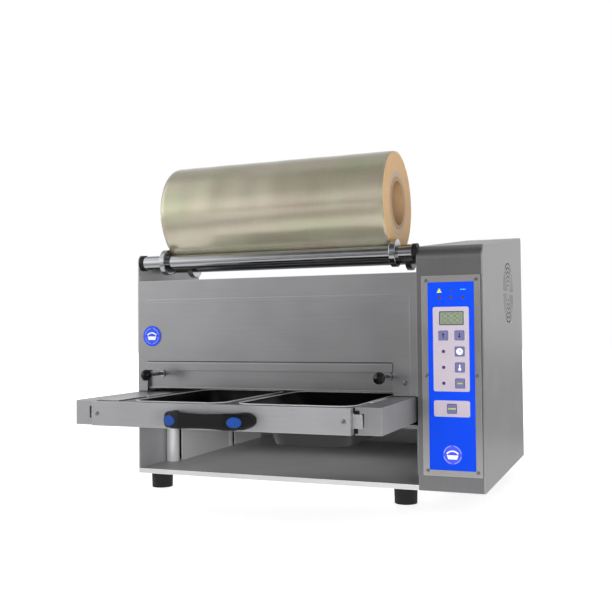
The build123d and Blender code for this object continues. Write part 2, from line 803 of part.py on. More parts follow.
with BuildPart() as film_core:
    rod((x_film + film_width / 2, y_roll, z_roll), core_radius, film_width, ALONG_X)
    rod((x_film + film_width / 2, y_roll, z_roll), core_bore_radius, film_width, ALONG_X,
        Mode.SUBTRACT)
save(film_core, "film_core")

# ======== Access flap ========

z_hinge = z_base + flap_top
y_hinge = y_panel + hem_radius - flap_proud
y_flap = y_panel + flap_recess
z_flap = z_drawer + flap_lift

# Hinge pin fixed between the cheeks of the front panel.
with BuildPart() as flap_hinge_pin:
    rod(((x_flap[0] + x_flap[1]) / 2, y_hinge, z_hinge), pin_radius,
        x_flap[1] - x_flap[0] + 2 * flap_gap, ALONG_X)
save(flap_hinge_pin, "flap_hinge_pin")

# Flap: a rolled hem on the pin, a proud strip, a step back and the recessed face.
y_strip = y_hinge - hem_radius
with BuildPart() as access_flap:
    rod(((x_flap[0] + x_flap[1]) / 2, y_hinge, z_hinge), hem_radius, x_flap[1] - x_flap[0],
        ALONG_X)
    block(x_flap, (y_strip, y_strip + flap_sheet), (z_base + flap_step, z_hinge))
    block(x_flap, (y_strip, y_flap + flap_sheet),
          (z_base + flap_step - flap_sheet, z_base + flap_step))
    block(x_flap, (y_flap, y_flap + flap_sheet), (z_flap, z_base + flap_step))
    block(x_flap, (y_flap - flap_foot, y_flap), (z_flap, z_flap + flap_sheet))
    rod(((x_flap[0] + x_flap[1]) / 2, y_hinge, z_hinge), pin_radius + running,
        x_flap[1] - x_flap[0], ALONG_X, Mode.SUBTRACT)
save(access_flap, "access_flap")

# Knob rods: turned rods with a collar against the flap.
x_knobs = (x_flap[0] + knob_inset, x_flap[1] - knob_right_inset)
z_knobs = z_base + knob_height
y_knobs = y_panel - knob_reach
rod_root = 3.0
with BuildPart() as knob_rods:
    for x in x_knobs:
        rod((x, (y_flap + y_knobs) / 2, z_knobs), knob_rod_radius, y_flap - y_knobs, ALONG_Y)
        rod((x, y_flap - rod_root / 2, z_knobs), knob_rod_radius * 2, rod_root, ALONG_Y)
save(knob_rods, "knob_rods")

# Ball knobs screwed on the rods.
with BuildPart() as ball_knobs:
    for x in x_knobs:
        with Locations((x, y_knobs, z_knobs)):
            Sphere(knob_radius)
        rod((x, y_knobs + knob_radius * 0.9, z_knobs), knob_rod_radius * 1.6, 4.0, ALONG_Y)
        rod((x, (y_flap + y_knobs) / 2, z_knobs), knob_rod_radius + snug, y_flap - y_knobs + snug,
            ALONG_Y, Mode.SUBTRACT)
save(ball_knobs, "ball_knobs")

# ======== Drawer ========

arm_slot = (4.0, 20.0)     # width and height of the slot in an arm's front face
arm_slot_inset = 12.0      # from the arm's side that faces the front plate
shelf_thickness = 2.0
mould_side_gap = 3.0
arm_slot_lift = 21.0
z_slot = z_arm_bottom + arm_slot_lift
x_slots = (x_arms[0] + arm_width - arm_slot_inset, x_arms[1] + arm_slot_inset)
for arm_name, x_arm, x_slot in zip(("left_drawer_arm", "right_drawer_arm"), x_arms, x_slots):
    # Drawer arm: a channel open below, closed at the front by a plate with an upright slot.
    with BuildPart() as arm:
        block((x_arm, x_arm + arm_width), (y_arms, y_arms + drawer_length),
              (z_arm_bottom, z_drawer))
        block((x_arm + arm_wall, x_arm + arm_width - arm_wall),
              (y_arms + arm_wall, y_arms + drawer_length), (z_arm_bottom, z_drawer - arm_wall),
              Mode.SUBTRACT)
        with BuildSketch(Plane.XZ.offset(-y_arms)):
            with Locations((x_slot, z_slot)):
                Rectangle(*arm_slot)
        extrude(amount=-arm_wall, mode=Mode.SUBTRACT)
        if arm_name == "left_drawer_arm":
            block((x_arm + arm_width, x_left + mould_left - mould_side_gap),
                  (y_arms + plate_proud, y_arms + mould_length),
                  (z_drawer - shelf_thickness, z_drawer))
    save(arm, arm_name)

# Front plate: a folded cover across the drawer's front crossbar.
x_plate = (x_left + plate_left, x_split - plate_right)
plate_sheet = 1.5
z_plate = (z_arm_bottom + plate_margin, z_drawer - plate_margin)
with BuildPart() as drawer_front_plate:
    block(x_plate, (y_arms - plate_proud, y_arms), z_plate)
    block((x_plate[0] + plate_sheet, x_plate[1] - plate_sheet),
          (y_arms - plate_proud + plate_sheet, y_arms),
          (z_plate[0] + plate_sheet, z_plate[1] - plate_sheet), Mode.SUBTRACT)
    fillet(edges().filter_by(Axis.Z).group_by(Axis.Y)[0], plate_sheet)
save(drawer_front_plate, "drawer_front_plate")

# Crossbars: front, middle and back, between the arms.
bar_depth = 12.0
bar_lift = 2.0
x_bars = (x_arms[0] + arm_width, x_arms[1])
bar_starts = (y_arms, y_arms + mould_length - bar_depth, y_arms + drawer_length - bar_depth)
with BuildPart() as drawer_crossbars:
    for start in bar_starts:
        block(x_bars, (start, start + bar_depth), (z_arm_bottom + bar_lift, z_mould_bottom))
save(drawer_crossbars, "drawer_crossbars")

# Mould plate: carries the two tray pans in rebated openings with rounded corners.
y_cavities = (y_arms + cavity_setback, y_arms + cavity_setback + cavity_length)
y_cavity = (y_cavities[0] + y_cavities[1]) / 2
flange_width = 4.2
flange_thickness = 1.5
mould_margin = 1.0
cavities = (
    (x_left + left_cavity_side + left_cavity_width / 2, left_cavity_width),
    (x_split - right_cavity_side - right_cavity_width / 2, right_cavity_width),
)
x_mould = (x_left + mould_left, x_split - mould_right)
with BuildPart() as mould_plate:
    block(x_mould, (y_arms + mould_margin, y_arms + mould_length),
          (z_mould_bottom, z_mould_top))
    for x, width in cavities:
        with BuildSketch(Plane.XY.offset(z_mould_top)):
            with Locations((x, y_cavity)):
                RectangleRounded(width, cavity_length, cavity_corner)
        extrude(amount=-mould_thickness, mode=Mode.SUBTRACT)
        with BuildSketch(Plane.XY.offset(z_mould_top)):
            with Locations((x, y_cavity)):
                RectangleRounded(width + 2 * flange_width, cavity_length + 2 * flange_width,
                                 cavity_corner + flange_width)
        extrude(amount=-flange_thickness, mode=Mode.SUBTRACT)
save(mould_plate, "mould_plate")

# Rims: a polished ring clamps each pan's flange.
with BuildPart() as cavity_rims:
    with BuildSketch(Plane.XY.offset(z_mould_top)):
        for x, width in cavities:
            with Locations((x, y_cavity)):
                RectangleRounded(width + 2 * rim_width, cavity_length + 2 * rim_width,
                                 cavity_corner + rim_width)
                RectangleRounded(width, cavity_length, cavity_corner, mode=Mode.SUBTRACT)
    extrude(amount=rim_height)
save(cavity_rims, "cavity_rims")

# Pans: drawn trays under the openings; the right one has a sloped ledge and a deeper tub.
z_flange = z_mould_top - flange_thickness


def pan_levels(width, inset):
    """List a pan's outlines from the top down as (depth, width, length, corner, shift)."""
    top = (0.0, width, cavity_length, cavity_corner, 0.0)
    if inset:
        return [top, (shallow_depth, width - 2 * inset, cavity_length - 2 * inset,
                      cavity_corner, 0.0)]
    return [top, (deep_ledge, *ledge_size, tub_corner, tub_shift),
            (deep_depth, *tub_size, tub_corner, tub_shift)]


for pan_name, (x, width), inset in zip(
    ("shallow_pan", "deep_pan"), cavities, (shallow_inset, 0.0)
):
    with BuildPart() as pan:
        with BuildSketch(Plane.XY.offset(z_flange)):
            with Locations((x, y_cavity)):
                RectangleRounded(width + 2 * flange_width - 2 * loose,
                                 cavity_length + 2 * flange_width - 2 * loose,
                                 cavity_corner + flange_width - loose)
                RectangleRounded(width - 2 * (loose + pan_wall),
                                 cavity_length - 2 * (loose + pan_wall),
                                 cavity_corner - loose - pan_wall, mode=Mode.SUBTRACT)
        extrude(amount=flange_thickness)
        for margin, rise, mode in (
            (loose, 0.0, Mode.ADD), (loose + pan_wall, pan_wall, Mode.SUBTRACT)
        ):
            for depth, wide, long, corner, shift in pan_levels(width, inset):
                z_level = z_flange - depth + (rise if depth else 0.0)
                with BuildSketch(Plane.XY.offset(z_level)):
                    with Locations((x + shift, y_cavity)):
                        RectangleRounded(wide - 2 * margin, long - 2 * margin,
                                         corner - margin)
            loft(ruled=True, mode=mode)
    save(pan, pan_name)

# Mould clamps: small bright blocks that bridge from each side of the drawer to the mould plate.
clamp_proud = 0.5
clamp_length = 74.0
clamp_width = 10.0
clamp_leg = 5.0
clamp_starts = (y_arms + 97.0, y_arms + 76.0)
with BuildPart() as mould_clamps:
    for x_edge, x_side, start in zip(
        x_mould, (x_left + mould_left - mould_side_gap, x_arms[1]), clamp_starts
    ):
        leg = sorted((x_edge, x_side))
        middle = (x_edge + x_side) / 2
        block((middle - clamp_width / 2, middle + clamp_width / 2), (start, start + clamp_length),
              (z_drawer, z_drawer + clamp_proud))
        block((leg[0] + loose, leg[1] - loose), (start, start + clamp_length),
              (z_drawer - clamp_leg, z_drawer))
save(mould_clamps, "mould_clamps")

# Glides: slotted plastic blocks inside the arms that run on the rail blades.
glide_length = 30.0
glide_rows = (drawer_length - 35.0, drawer_length - 140.0)
glide_lift = 1.0
with BuildPart() as drawer_glides:
    for x_arm in x_arms:
        for row in glide_rows:
            y_glide = y_arms + row
            block((x_arm + arm_wall, x_arm + arm_width - arm_wall),
                  (y_glide, y_glide + glide_length),
                  (z_arm_bottom + glide_lift, z_drawer - arm_wall))
            middle = x_arm + arm_width / 2
            block((middle - blade_width / 2 - loose, middle + blade_width / 2 + loose),
                  (y_glide, y_glide + glide_length),
                  (z_arm_bottom, z_blade_top + 2 * loose), Mode.SUBTRACT)
save(drawer_glides, "drawer_glides")

# Bow handle: a straight grip with a slanted shoulder and a foot at each end.
x_handle = x_bay_middle - 2.0
y_plate = y_arms - plate_proud
z_handle = (z_plate[0] + z_plate[1]) / 2 - 2.2
handle_half = handle_width / 2
grip_half = 40.0
foot_width = 20.0
grip_thickness = 15.0
shoulder_depth = 8.5
with BuildPart() as drawer_handle:
    with BuildSketch(Plane.XY.offset(z_handle - handle_height / 2)):
        with BuildLine():
            Polyline(
                (x_handle - handle_half, y_plate),
                (x_handle - handle_half, y_plate - handle_reach + shoulder_depth),
                (x_handle - grip_half, y_plate - handle_reach),
                (x_handle + grip_half, y_plate - handle_reach),
                (x_handle + handle_half, y_plate - handle_reach + shoulder_depth),
                (x_handle + handle_half, y_plate),
                (x_handle + handle_half - foot_width, y_plate),
                (x_handle + handle_half - foot_width,
                 y_plate - handle_reach + shoulder_depth + grip_thickness / 2),
                (x_handle + grip_half - 2.0, y_plate - handle_reach + grip_thickness),
                (x_handle - grip_half + 2.0, y_plate - handle_reach + grip_thickness),
                (x_handle - handle_half + foot_width,
                 y_plate - handle_reach + shoulder_depth + grip_thickness / 2),
                (x_handle - handle_half + foot_width, y_plate),
                close=True,
            )
        make_face()
    extrude(amount=handle_height)
    long_edges = edges().filter_by(Axis.Z).filter_by(lambda edge: edge.center().Y < y_plate - 1)
    fillet(long_edges, 5.0)
    with BuildSketch(Plane.XZ.offset(-y_plate)):
        with Locations((x_handle, z_handle)):
            RectangleRounded(handle_width, handle_height, handle_height / 2 - snug)
    extrude(amount=handle_reach, mode=Mode.INTERSECT)
save(drawer_handle, "drawer_handle")

# Oval screw caps on the handle's shoulders.
cap_half = (11.0, 7.8)
cap_height = 0.9
cap_spread = 54.5          # caps on each side of the handle's middle
shoulder_angle = math.atan2(shoulder_depth, handle_half - grip_half)
y_cap = y_plate - handle_reach + (cap_spread - grip_half) * math.tan(shoulder_angle)
with BuildPart() as handle_caps:
    for side in (-1, 1):
        cap_plane = Plane(
            origin=(x_handle + side * cap_spread, y_cap, z_handle),
            x_dir=(math.cos(shoulder_angle), side * math.sin(shoulder_angle), 0),
            z_dir=(side * math.sin(shoulder_angle), -math.cos(shoulder_angle), 0),
        )
        with BuildSketch(cap_plane):
            Ellipse(*cap_half)
        extrude(amount=cap_height)
save(handle_caps, "handle_caps")

# ======== Sealing head ========

x_head = (x_left + head_left, x_split - head_right)
y_head = (y_panel + head_front, y_panel + head_front + head_length)
y_closed = y_cavity + drawer_open - drawer_stop

# Cutting frames: a thin upright band above each cavity's rim.
cutter_width = 2.0
with BuildPart() as cutting_frames:
    with BuildSketch(Plane.XY.offset(z_cutter)):
        for x, width in cavities:
            with Locations((x, y_closed)):
                RectangleRounded(width + 2 * cutter_width, cavity_length + 2 * cutter_width,
                                 cavity_corner + cutter_width)
                RectangleRounded(width, cavity_length, cavity_corner, mode=Mode.SUBTRACT)
    extrude(amount=cutter_height)
save(cutting_frames, "cutting_frames")

# Heater plate with its blind bores for the heating rods.
heater_bore_radius = 4.0
heater_bores = 5
heater_bore_depth = 300.0
with BuildPart() as heater_plate:
    block(x_head, y_head, (z_heater, z_carrier))
    for index in range(heater_bores):
        y_bore = y_head[0] + head_length / heater_bores * (index + 0.5)
        rod((x_head[1] - heater_bore_depth / 2, y_bore, (z_heater + z_carrier) / 2),
            heater_bore_radius, heater_bore_depth, ALONG_X, Mode.SUBTRACT)
save(heater_plate, "heater_plate")

# Head carrier: a stiff plate above the heater plate.
with BuildPart() as head_carrier:
    block(x_head, y_head, (z_carrier, z_carrier_top))
save(head_carrier, "head_carrier")

# Guide rods stand on the carrier and slide in the bridge's bushes.
guide_x = 150.0
guide_y = 60.0
y_bridge = (y_panel + bridge_front, y_panel + bridge_front + bridge_length)
y_bridge_middle = (y_bridge[0] + y_bridge[1]) / 2
z_bridge = (z_panel_top - bridge_drop, z_panel_top - bridge_drop + bridge_thickness)
guide_spots = [
    (x_bay_middle + dx, y_bridge_middle + dy)
    for dx in (-guide_x, guide_x) for dy in (-guide_y, guide_y)
]
guide_length = z_panel_top - guide_drop - z_carrier_top
with BuildPart() as guide_rods:
    for x, y in guide_spots:
        rod((x, y, z_carrier_top + guide_length / 2), guide_radius, guide_length, ALONG_Z)
save(guide_rods, "guide_rods")

# Bridge: a thick plate across the bay with a folded flange at each wall.
bridge_flange = 40.0
bush_outer = 12.0
bush_flange_radius = 16.0
bush_flange_height = 4.0
with BuildPart() as bridge:
    block((x_left + sheet, x_split), y_bridge, z_bridge)
    for x in (x_left + sheet, x_split - bridge_thickness / 2):
        block((x, x + bridge_thickness / 2), y_bridge,
              (z_bridge[0] - bridge_flange, z_bridge[0]))
    for x, y in guide_spots:
        rod((x, y, z_bridge[0] + bridge_thickness / 2), bush_outer, bridge_thickness, ALONG_Z,
            Mode.SUBTRACT)
    rod((x_bay_middle, y_bridge_middle, z_bridge[0] + bridge_thickness / 2),
        screw_radius + loose, bridge_thickness, ALONG_Z, Mode.SUBTRACT)
save(bridge, "bridge")

# Guide bushes: flanged bronze bushes in the bridge.
with BuildPart() as guide_bushes:
    for x, y in guide_spots:
        rod((x, y, z_bridge[0] + bridge_thickness / 2), bush_outer - snug, bridge_thickness,
            ALONG_Z)
        rod((x, y, z_bridge[1] + bush_flange_height / 2), bush_flange_radius,
            bush_flange_height, ALONG_Z)
        rod((x, y, z_bridge[0] + bridge_thickness / 2 + bush_flange_height / 2),
            guide_radius + running, bridge_thickness + bush_flange_height, ALONG_Z,
            Mode.SUBTRACT)
save(guide_bushes, "guide_bushes")

# Lift screw: turned by the gearmotor, runs in the nut on the carrier.
screw_insert = 20.0
screw_gap = 4.0
z_screw = (z_carrier_top + screw_gap, z_bridge[1] + screw_insert)
with BuildPart() as lift_screw:
    rod((x_bay_middle, y_bridge_middle, (z_screw[0] + z_screw[1]) / 2), screw_radius,
        z_screw[1] - z_screw[0], ALONG_Z)
save(lift_screw, "lift_screw")

# Lift nut: a flanged nut bolted on the carrier.
nut_height = 30.0
nut_radius = 14.0
nut_flange_radius = 24.0
nut_flange_height = 8.0
with BuildPart() as lift_nut:
    rod((x_bay_middle, y_bridge_middle, z_carrier_top + nut_height / 2), nut_radius, nut_height,
        ALONG_Z)
    rod((x_bay_middle, y_bridge_middle, z_carrier_top + nut_flange_height / 2),
        nut_flange_radius, nut_flange_height, ALONG_Z)
    rod((x_bay_middle, y_bridge_middle, z_carrier_top + nut_height / 2), screw_radius + running,
        nut_height, ALONG_Z, Mode.SUBTRACT)
save(lift_nut, "lift_nut")

# Gearmotor: a worm gearbox on the bridge with its motor lying along X.
gearbox = 56.0
gearbox_height = 46.0
motor_radius = 22.0
motor_length = 92.0
with BuildPart() as drive_gearmotor:
    block((x_bay_middle - gearbox / 2, x_bay_middle + gearbox / 2),
          (y_bridge_middle - gearbox / 2, y_bridge_middle + gearbox / 2),
          (z_bridge[1], z_bridge[1] + gearbox_height))
    fillet(edges().filter_by(Axis.Z), 5.0)
    rod((x_bay_middle + gearbox / 2 + motor_length / 2, y_bridge_middle,
         z_bridge[1] + gearbox_height / 2), motor_radius, motor_length, ALONG_X)
    rod((x_bay_middle, y_bridge_middle, z_bridge[1] + (screw_insert + 1.0) / 2),
        screw_radius + running, screw_insert + 1.0, ALONG_Z, Mode.SUBTRACT)
save(drive_gearmotor, "drive_gearmotor")

# ======== Screws ========

# Visible screws: on the front panel and on the faceplate.
head_height = 1.6
with BuildPart() as housing_screws:
    for x in panel_screws_x:
        rod((x, y_panel - head_height / 2, z_panel_screws), panel_screw_head, head_height, ALONG_Y)
        rod((x, y_panel + sheet / 2, z_panel_screws), panel_screw_radius - snug, sheet, ALONG_Y)
    for x, z in face_screws:
        rod((x, y_face - head_height / 2, z), face_screw_head, head_height, ALONG_Y)
        rod((x, y_face + faceplate_thickness / 2, z), face_screw_radius - snug,
            faceplate_thickness, ALONG_Y)
save(housing_screws, "housing_screws")

print(len(made), "pieces")
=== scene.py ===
"""Looks of a tabletop film sealing machine, built around its CAD frame."""

import math

import bmesh
import bpy
from bpy.props import FloatProperty, FloatVectorProperty, PointerProperty
from mathutils import Euler, Matrix, Vector


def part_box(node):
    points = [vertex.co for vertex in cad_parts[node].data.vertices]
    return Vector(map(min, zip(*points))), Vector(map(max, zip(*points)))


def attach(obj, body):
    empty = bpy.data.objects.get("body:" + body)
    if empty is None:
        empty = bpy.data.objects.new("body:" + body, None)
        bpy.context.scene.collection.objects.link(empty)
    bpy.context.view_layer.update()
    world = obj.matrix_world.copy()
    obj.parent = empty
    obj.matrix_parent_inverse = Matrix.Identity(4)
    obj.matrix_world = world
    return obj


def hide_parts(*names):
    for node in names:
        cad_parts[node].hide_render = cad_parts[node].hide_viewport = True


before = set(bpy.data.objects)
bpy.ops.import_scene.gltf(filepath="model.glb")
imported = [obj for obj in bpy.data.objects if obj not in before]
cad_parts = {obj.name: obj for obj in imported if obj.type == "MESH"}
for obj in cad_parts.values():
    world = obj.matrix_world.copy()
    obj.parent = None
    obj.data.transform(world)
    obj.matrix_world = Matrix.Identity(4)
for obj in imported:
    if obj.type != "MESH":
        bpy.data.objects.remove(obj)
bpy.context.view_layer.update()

bl_info = {
    "name": "Tabletop film sealing machine",
    "version": (1, 0, 0),
    "blender": (4, 5, 0),
    "location": "View3D > Sidebar > Film Sealer",
    "description": "Finishes and fine parts of a tray sealing machine, on its CAD frame",
    "category": "Object",
}

MM = 0.001


def linear(hex_colour):
    """Turn an sRGB hex colour into the linear RGBA that shaders use."""
    channels = [int(hex_colour[i : i + 2], 16) / 255 for i in (1, 3, 5)]
    return [c / 12.92 if c <= 0.04045 else ((c + 0.055) / 1.055) ** 2.4 for c in channels] + [1.0]


def colour_property(name, description, hex_colour):
    """A colour that a user can change, given by its sRGB hex value."""
    return FloatVectorProperty(
        name=name,
        description=description,
        subtype="COLOR",
        size=4,
        min=0.0,
        max=1.0,
        default=linear(hex_colour),
    )


def size_property(name, description, millimetres):
    """A length that a user can change, given in millimetres."""
    return FloatProperty(
        name=name, description=description, unit="LENGTH", precision=5, default=millimetres * MM
    )


class FilmSealerSizes(bpy.types.PropertyGroup):
    """Sizes of the fine parts and of the surface textures."""

    brush_pitch: size_property(
        "Brush pitch", "Spacing of the belt lines on the stainless sheets", 0.9
    )
    brush_stroke: size_property("Brush stroke", "Length of one belt line", 90)
    fold_round: size_property("Fold rounding", "Outer radius of a folded sheet's edge", 2)
    edge_round: size_property("Edge rounding", "Radius of a deburred sheet edge", 0.5)
    turning_pitch: size_property("Turning pitch", "Spacing of tool marks on turned parts", 0.6)
    print_thickness: size_property("Print thickness", "Thickness of the printed layers", 0.12)
    panel_margin: size_property(
        "Panel margin", "From the label's sides to the pale printed panels", 8.3
    )
    panel_corner: size_property("Panel corner", "Corner radius of the pale panels", 3.2)
    key_margin: size_property("Key margin", "From a key to the edge of its pale panel", 5.6)
    digit_height: size_property("Digit height", "Height of a display digit", 14)
    emblem_radius: size_property("Emblem radius", "Radius of the round emblem on the label", 15.5)
    emblem_height: size_property(
        "Emblem height", "From the label's foot to the emblem's middle", 25.2
    )
    mark_rise: size_property("Mark rise", "From a lamp to the mark printed above it", 11)
    display_border: size_property("Display border", "Width of the black frame in the window", 1.3)
    digit_pitch: size_property("Digit pitch", "From one digit's middle to the next", 10.4)
    latch_height: size_property("Latch height", "Height of the drawer's bright latch tab", 20)
    winding_round: size_property(
        "Winding rounding", "How far the windings step in at the ends of the roll", 0.8
    )
    plate_screw_radius: size_property(
        "Plate screw radius", "Head radius of the screws in the drawer's front plate", 3.5
    )
    plate_screw_inset: size_property(
        "Plate screw inset", "From the front plate's ends to its screws", 10.5
    )
    handle_shoulder: size_property(
        "Handle shoulder", "Length of the slanted shoulder at each end of the handle", 35
    )
    handle_fall: size_property("Handle fall", "How far the shoulders fall back", 8.5)
    handle_trim: size_property("Handle trim", "How much shorter each end of the handle is", 1.5)
    foot_start: size_property("Handle foot", "From the handle's middle to its feet", 53)
    grip_depth: size_property("Grip depth", "Front to back of the handle's grip", 15)
    cap_spread: size_property("Cap spread", "From the handle's middle to a screw cap", 54.5)
    cap_length: size_property("Cap length", "Long width of an oval screw cap", 22.6)
    cap_tall: size_property("Cap height", "Short width of an oval screw cap", 16)
    cap_height: size_property("Cap rise", "How far a screw cap stands out", 0.9)
    core_band: size_property(
        "Inner winding band", "Width of the greyish first windings next to the core", 10.5
    )
    winding_pitch: size_property("Winding pitch", "Spacing of the rings on the roll's end", 1.1)
    grip_waist: FloatProperty(
        name="Grip waist", description="Share by which the grip is lower in its middle", default=0.12
    )


class FilmSealerColours(bpy.types.PropertyGroup):
    """Colours of the finishes."""

    sheet_steel: colour_property("Sheet steel", "Brushed stainless housing", "#A6A6A8")
    drawer_steel: colour_property("Drawer steel", "Satin stainless drawer", "#9B9B9E")
    plate_steel: colour_property("Faceplate steel", "Stainless plate of the panel", "#B8B7B6")
    polished_steel: colour_property("Polished steel", "Ground and polished shafts", "#BFC0C3")
    film: colour_property("Film", "Wound film seen from the side", "#BFB7A5")
    film_green: colour_property("Film green", "Green interference tint of the film", "#A9AD8F")
    film_rose: colour_property("Film rose", "Rose interference tint of the film", "#B8A699")
    film_edge: colour_property("Film edge", "Cut edges of the windings", "#B28F62")
    first_windings: colour_property("First windings", "Windings next to the core", "#9C8A76")
    cardboard: colour_property("Cardboard", "Core tube", "#A58663")
    label_blue: colour_property("Label blue", "Printed polyester label", "#0036B8")
    panel_lilac: colour_property("Panel lilac", "Pale panels printed on the label", "#99919A")
    key_slate: colour_property("Key slate", "Key caps", "#5A5A7C")
    key_ink: colour_property("Key ink", "Dark symbols on the keys", "#26263F")
    signal_green: colour_property("Signal green", "Yellow-green symbols", "#A9BA1A")
    paper_white: colour_property("White ink", "White symbols", "#CFCFCE")
    lens_red: colour_property("Lens red", "Unlit lamp lenses", "#4C2B22")
    display_green: colour_property("Display", "Unlit liquid crystal", "#69735F")
    display_ink: colour_property("Display digits", "Faint display digits", "#5E6857")
    cap_blue: colour_property("Cap blue", "Screw caps of the handle", "#0A3272")
    black_plastic: colour_property("Black plastic", "Moulded black plastic", "#0C0C0D")
    handle_black: colour_property("Handle black", "Grained nylon of the handle", "#09090A")
    cover_steel: colour_property("Cover steel", "Side cover of the control box", "#ADADAE")
    bay_steel: colour_property("Bay steel", "Matt sheets inside the bay", "#C0C0C0")
    rubber: colour_property("Rubber", "Feet", "#121212")
    pan_black: colour_property("Pan coating", "Dark non-stick coating", "#0D0D0E")
    bronze: colour_property("Bronze", "Bearing bronze", "#B98B4E")


class FilmSealerStage(bpy.types.PropertyGroup):
    """Camera and light of the studio."""

    camera_place: FloatVectorProperty(
        name="Camera",
        description="Where the camera stands",
        subtype="TRANSLATION",
        unit="LENGTH",
        default=(0.5668, -1.4851, 0.2984),
    )
    camera_yaw: FloatProperty(
        name="Yaw",
        description="Turn of the camera to the operator's left",
        subtype="ANGLE",
        default=math.radians(21.89),
    )
    camera_pitch: FloatProperty(
        name="Pitch",
        description="Tilt of the camera above the horizon",
        subtype="ANGLE",
        default=math.radians(1.35),
    )
    camera_roll: FloatProperty(
        name="Roll",
        description="Turn of the camera about its own axis",
        subtype="ANGLE",
        default=math.radians(-0.58),
    )
    lens: FloatProperty(
        name="Lens", description="Focal length on a 36 mm sensor, in mm", default=50.47
    )
    floor_radius: FloatProperty(
        name="Floor radius", description="Radius of the floor", unit="LENGTH", default=9.0
    )
    key_power: FloatProperty(
        name="Key light", description="Power of the overhead softbox", unit="POWER", default=4.0
    )
    card_power: FloatProperty(
        name="Bay card",
        description="Power of the small card under the head",
        unit="POWER",
        default=0.17,
    )
    bay_power: FloatProperty(
        name="Bay light",
        description="Power of the low softbox in front",
        unit="POWER",
        default=26.0,
    )


def sizes():
    return bpy.context.scene.film_sealer_sizes


def colours():
    return bpy.context.scene.film_sealer_colours


# ---------------------------------------------------------------- materials


def feed(tree, node, inputs):
    """Set a node's inputs, or link them to sockets or to other nodes' first live output."""
    for key, value in inputs.items():
        if isinstance(value, bpy.types.Node):
            value = next(socket for socket in value.outputs if socket.enabled)
        if isinstance(value, bpy.types.NodeSocket):
            tree.links.new(value, node.inputs[key])
        else:
            node.inputs[key].default_value = value


def add(tree, kind, inputs, **settings):
    """Add a node with its settings and its values or links."""
    made = tree.nodes.new("ShaderNode" + kind)
    for key, value in settings.items():
        setattr(made, key, value)
    feed(tree, made, inputs)
    return made


def start_material(name, **inputs):
    """A material with a principled shader whose plain inputs are set on its own sockets."""
    found = bpy.data.materials.get(name)
    if found:
        bpy.data.materials.remove(found)
    material = bpy.data.materials.new(name)
    material.use_nodes = True
    tree = material.node_tree
    tree.nodes.clear()
    values = {key.replace("_", " "): value for key, value in inputs.items()}
    shader = add(tree, "BsdfPrincipled", values)
    add(tree, "OutputMaterial", {"Surface": shader})
    return material, tree, shader


def scaled(colour, share):
    """A colour made darker or lighter by a share."""
    return [min(1.0, c * share) for c in colour[:3]] + [1.0]


def relief(tree, height, depth):
    """Bump from a height, on edges rounded as a deburred sheet's are."""
    edge = add(tree, "Bevel", {"Radius": sizes().edge_round}, samples=6)
    return add(
        tree, "Bump", {"Height": height, "Strength": 1.0, "Distance": depth, "Normal": edge}
    )


AXES = "XYZ"


def brushed_stainless(name, colour, roughness, grain, metal=0.95, graze=1.0):
    """Cold-rolled stainless sheet, belt brushed along one axis.

    The belt leaves long fine scratches, so highlights stay soft and spread across the
    grain, and handling leaves slightly duller patches. Rounded edges get a painted
    highlight: the base colour is lightened where the bevel normal turns away from the
    face's normal. The scratches are drawn coarser than a real 0.1 mm grit line, because
    that would not show.
    The metal share is lower where the real sheet is matt and scatters light all round, and
    the grazing reflection is weaker where the finish is coarse.
    """
    material, tree, shader = start_material(
        name, Metallic=metal, Anisotropic=0.3, Specular_Tint=(graze, graze, graze, 1.0)
    )
    stretch = [1 / sizes().brush_pitch] * 3
    stretch[AXES.index(grain)] = 1 / sizes().brush_stroke
    where = add(tree, "TexCoord", {}).outputs["Object"]
    drawn = add(tree, "VectorMath", {0: where, 1: stretch}, operation="MULTIPLY")
    lines = add(tree, "TexNoise", {"Vector": drawn, "Scale": 1.0, "Detail": 4.0})
    clouds = add(tree, "TexNoise", {"Vector": where, "Scale": 9.0, "Detail": 2.0})
    patches = add(tree, "MapRange", {0: clouds, 1: 0.3, 2: 0.7})
    cloudy = add(
        tree, "Mix", {0: patches, 6: scaled(colour, 0.93), 7: scaled(colour, 1.05)}, data_type="RGBA"
    )
    shares = add(tree, "MapRange", {0: lines, 1: 0.3, 2: 0.7, 3: 0.95, 4: 1.04})
    streaked = add(tree, "VectorMath", {0: cloudy, "Scale": shares}, operation="SCALE")
    # Painted highlight: the base colour goes up to 1.7 times lighter on rounded edges, where the bevel
    # normal leaves the face normal.
    edge = add(tree, "Bevel", {"Radius": sizes().fold_round}, samples=4)
    flat = add(tree, "NewGeometry", {}).outputs["Normal"]
    turn = add(tree, "VectorMath", {0: edge, 1: flat}, operation="DOT_PRODUCT")
    painted_edge_highlight = add(tree, "MapRange", {0: turn, 1: 0.78, 2: 0.985, 3: 0.75, 4: 0.0})
    shade = add(
        tree, "Mix", {0: painted_edge_highlight, 6: streaked, 7: scaled(colour, 1.7)}, data_type="RGBA"
    )
    low = add(tree, "MapRange", {0: lines, 3: roughness - 0.05, 4: roughness + 0.05})
    dull = add(tree, "Math", {0: patches, 1: 0.05, 2: low}, operation="MULTIPLY_ADD")
    bumps = relief(tree, lines, 0.008 * MM)
    feed(tree, shader, {"Base Color": shade, "Roughness": dull, "Normal": bumps})
    return material


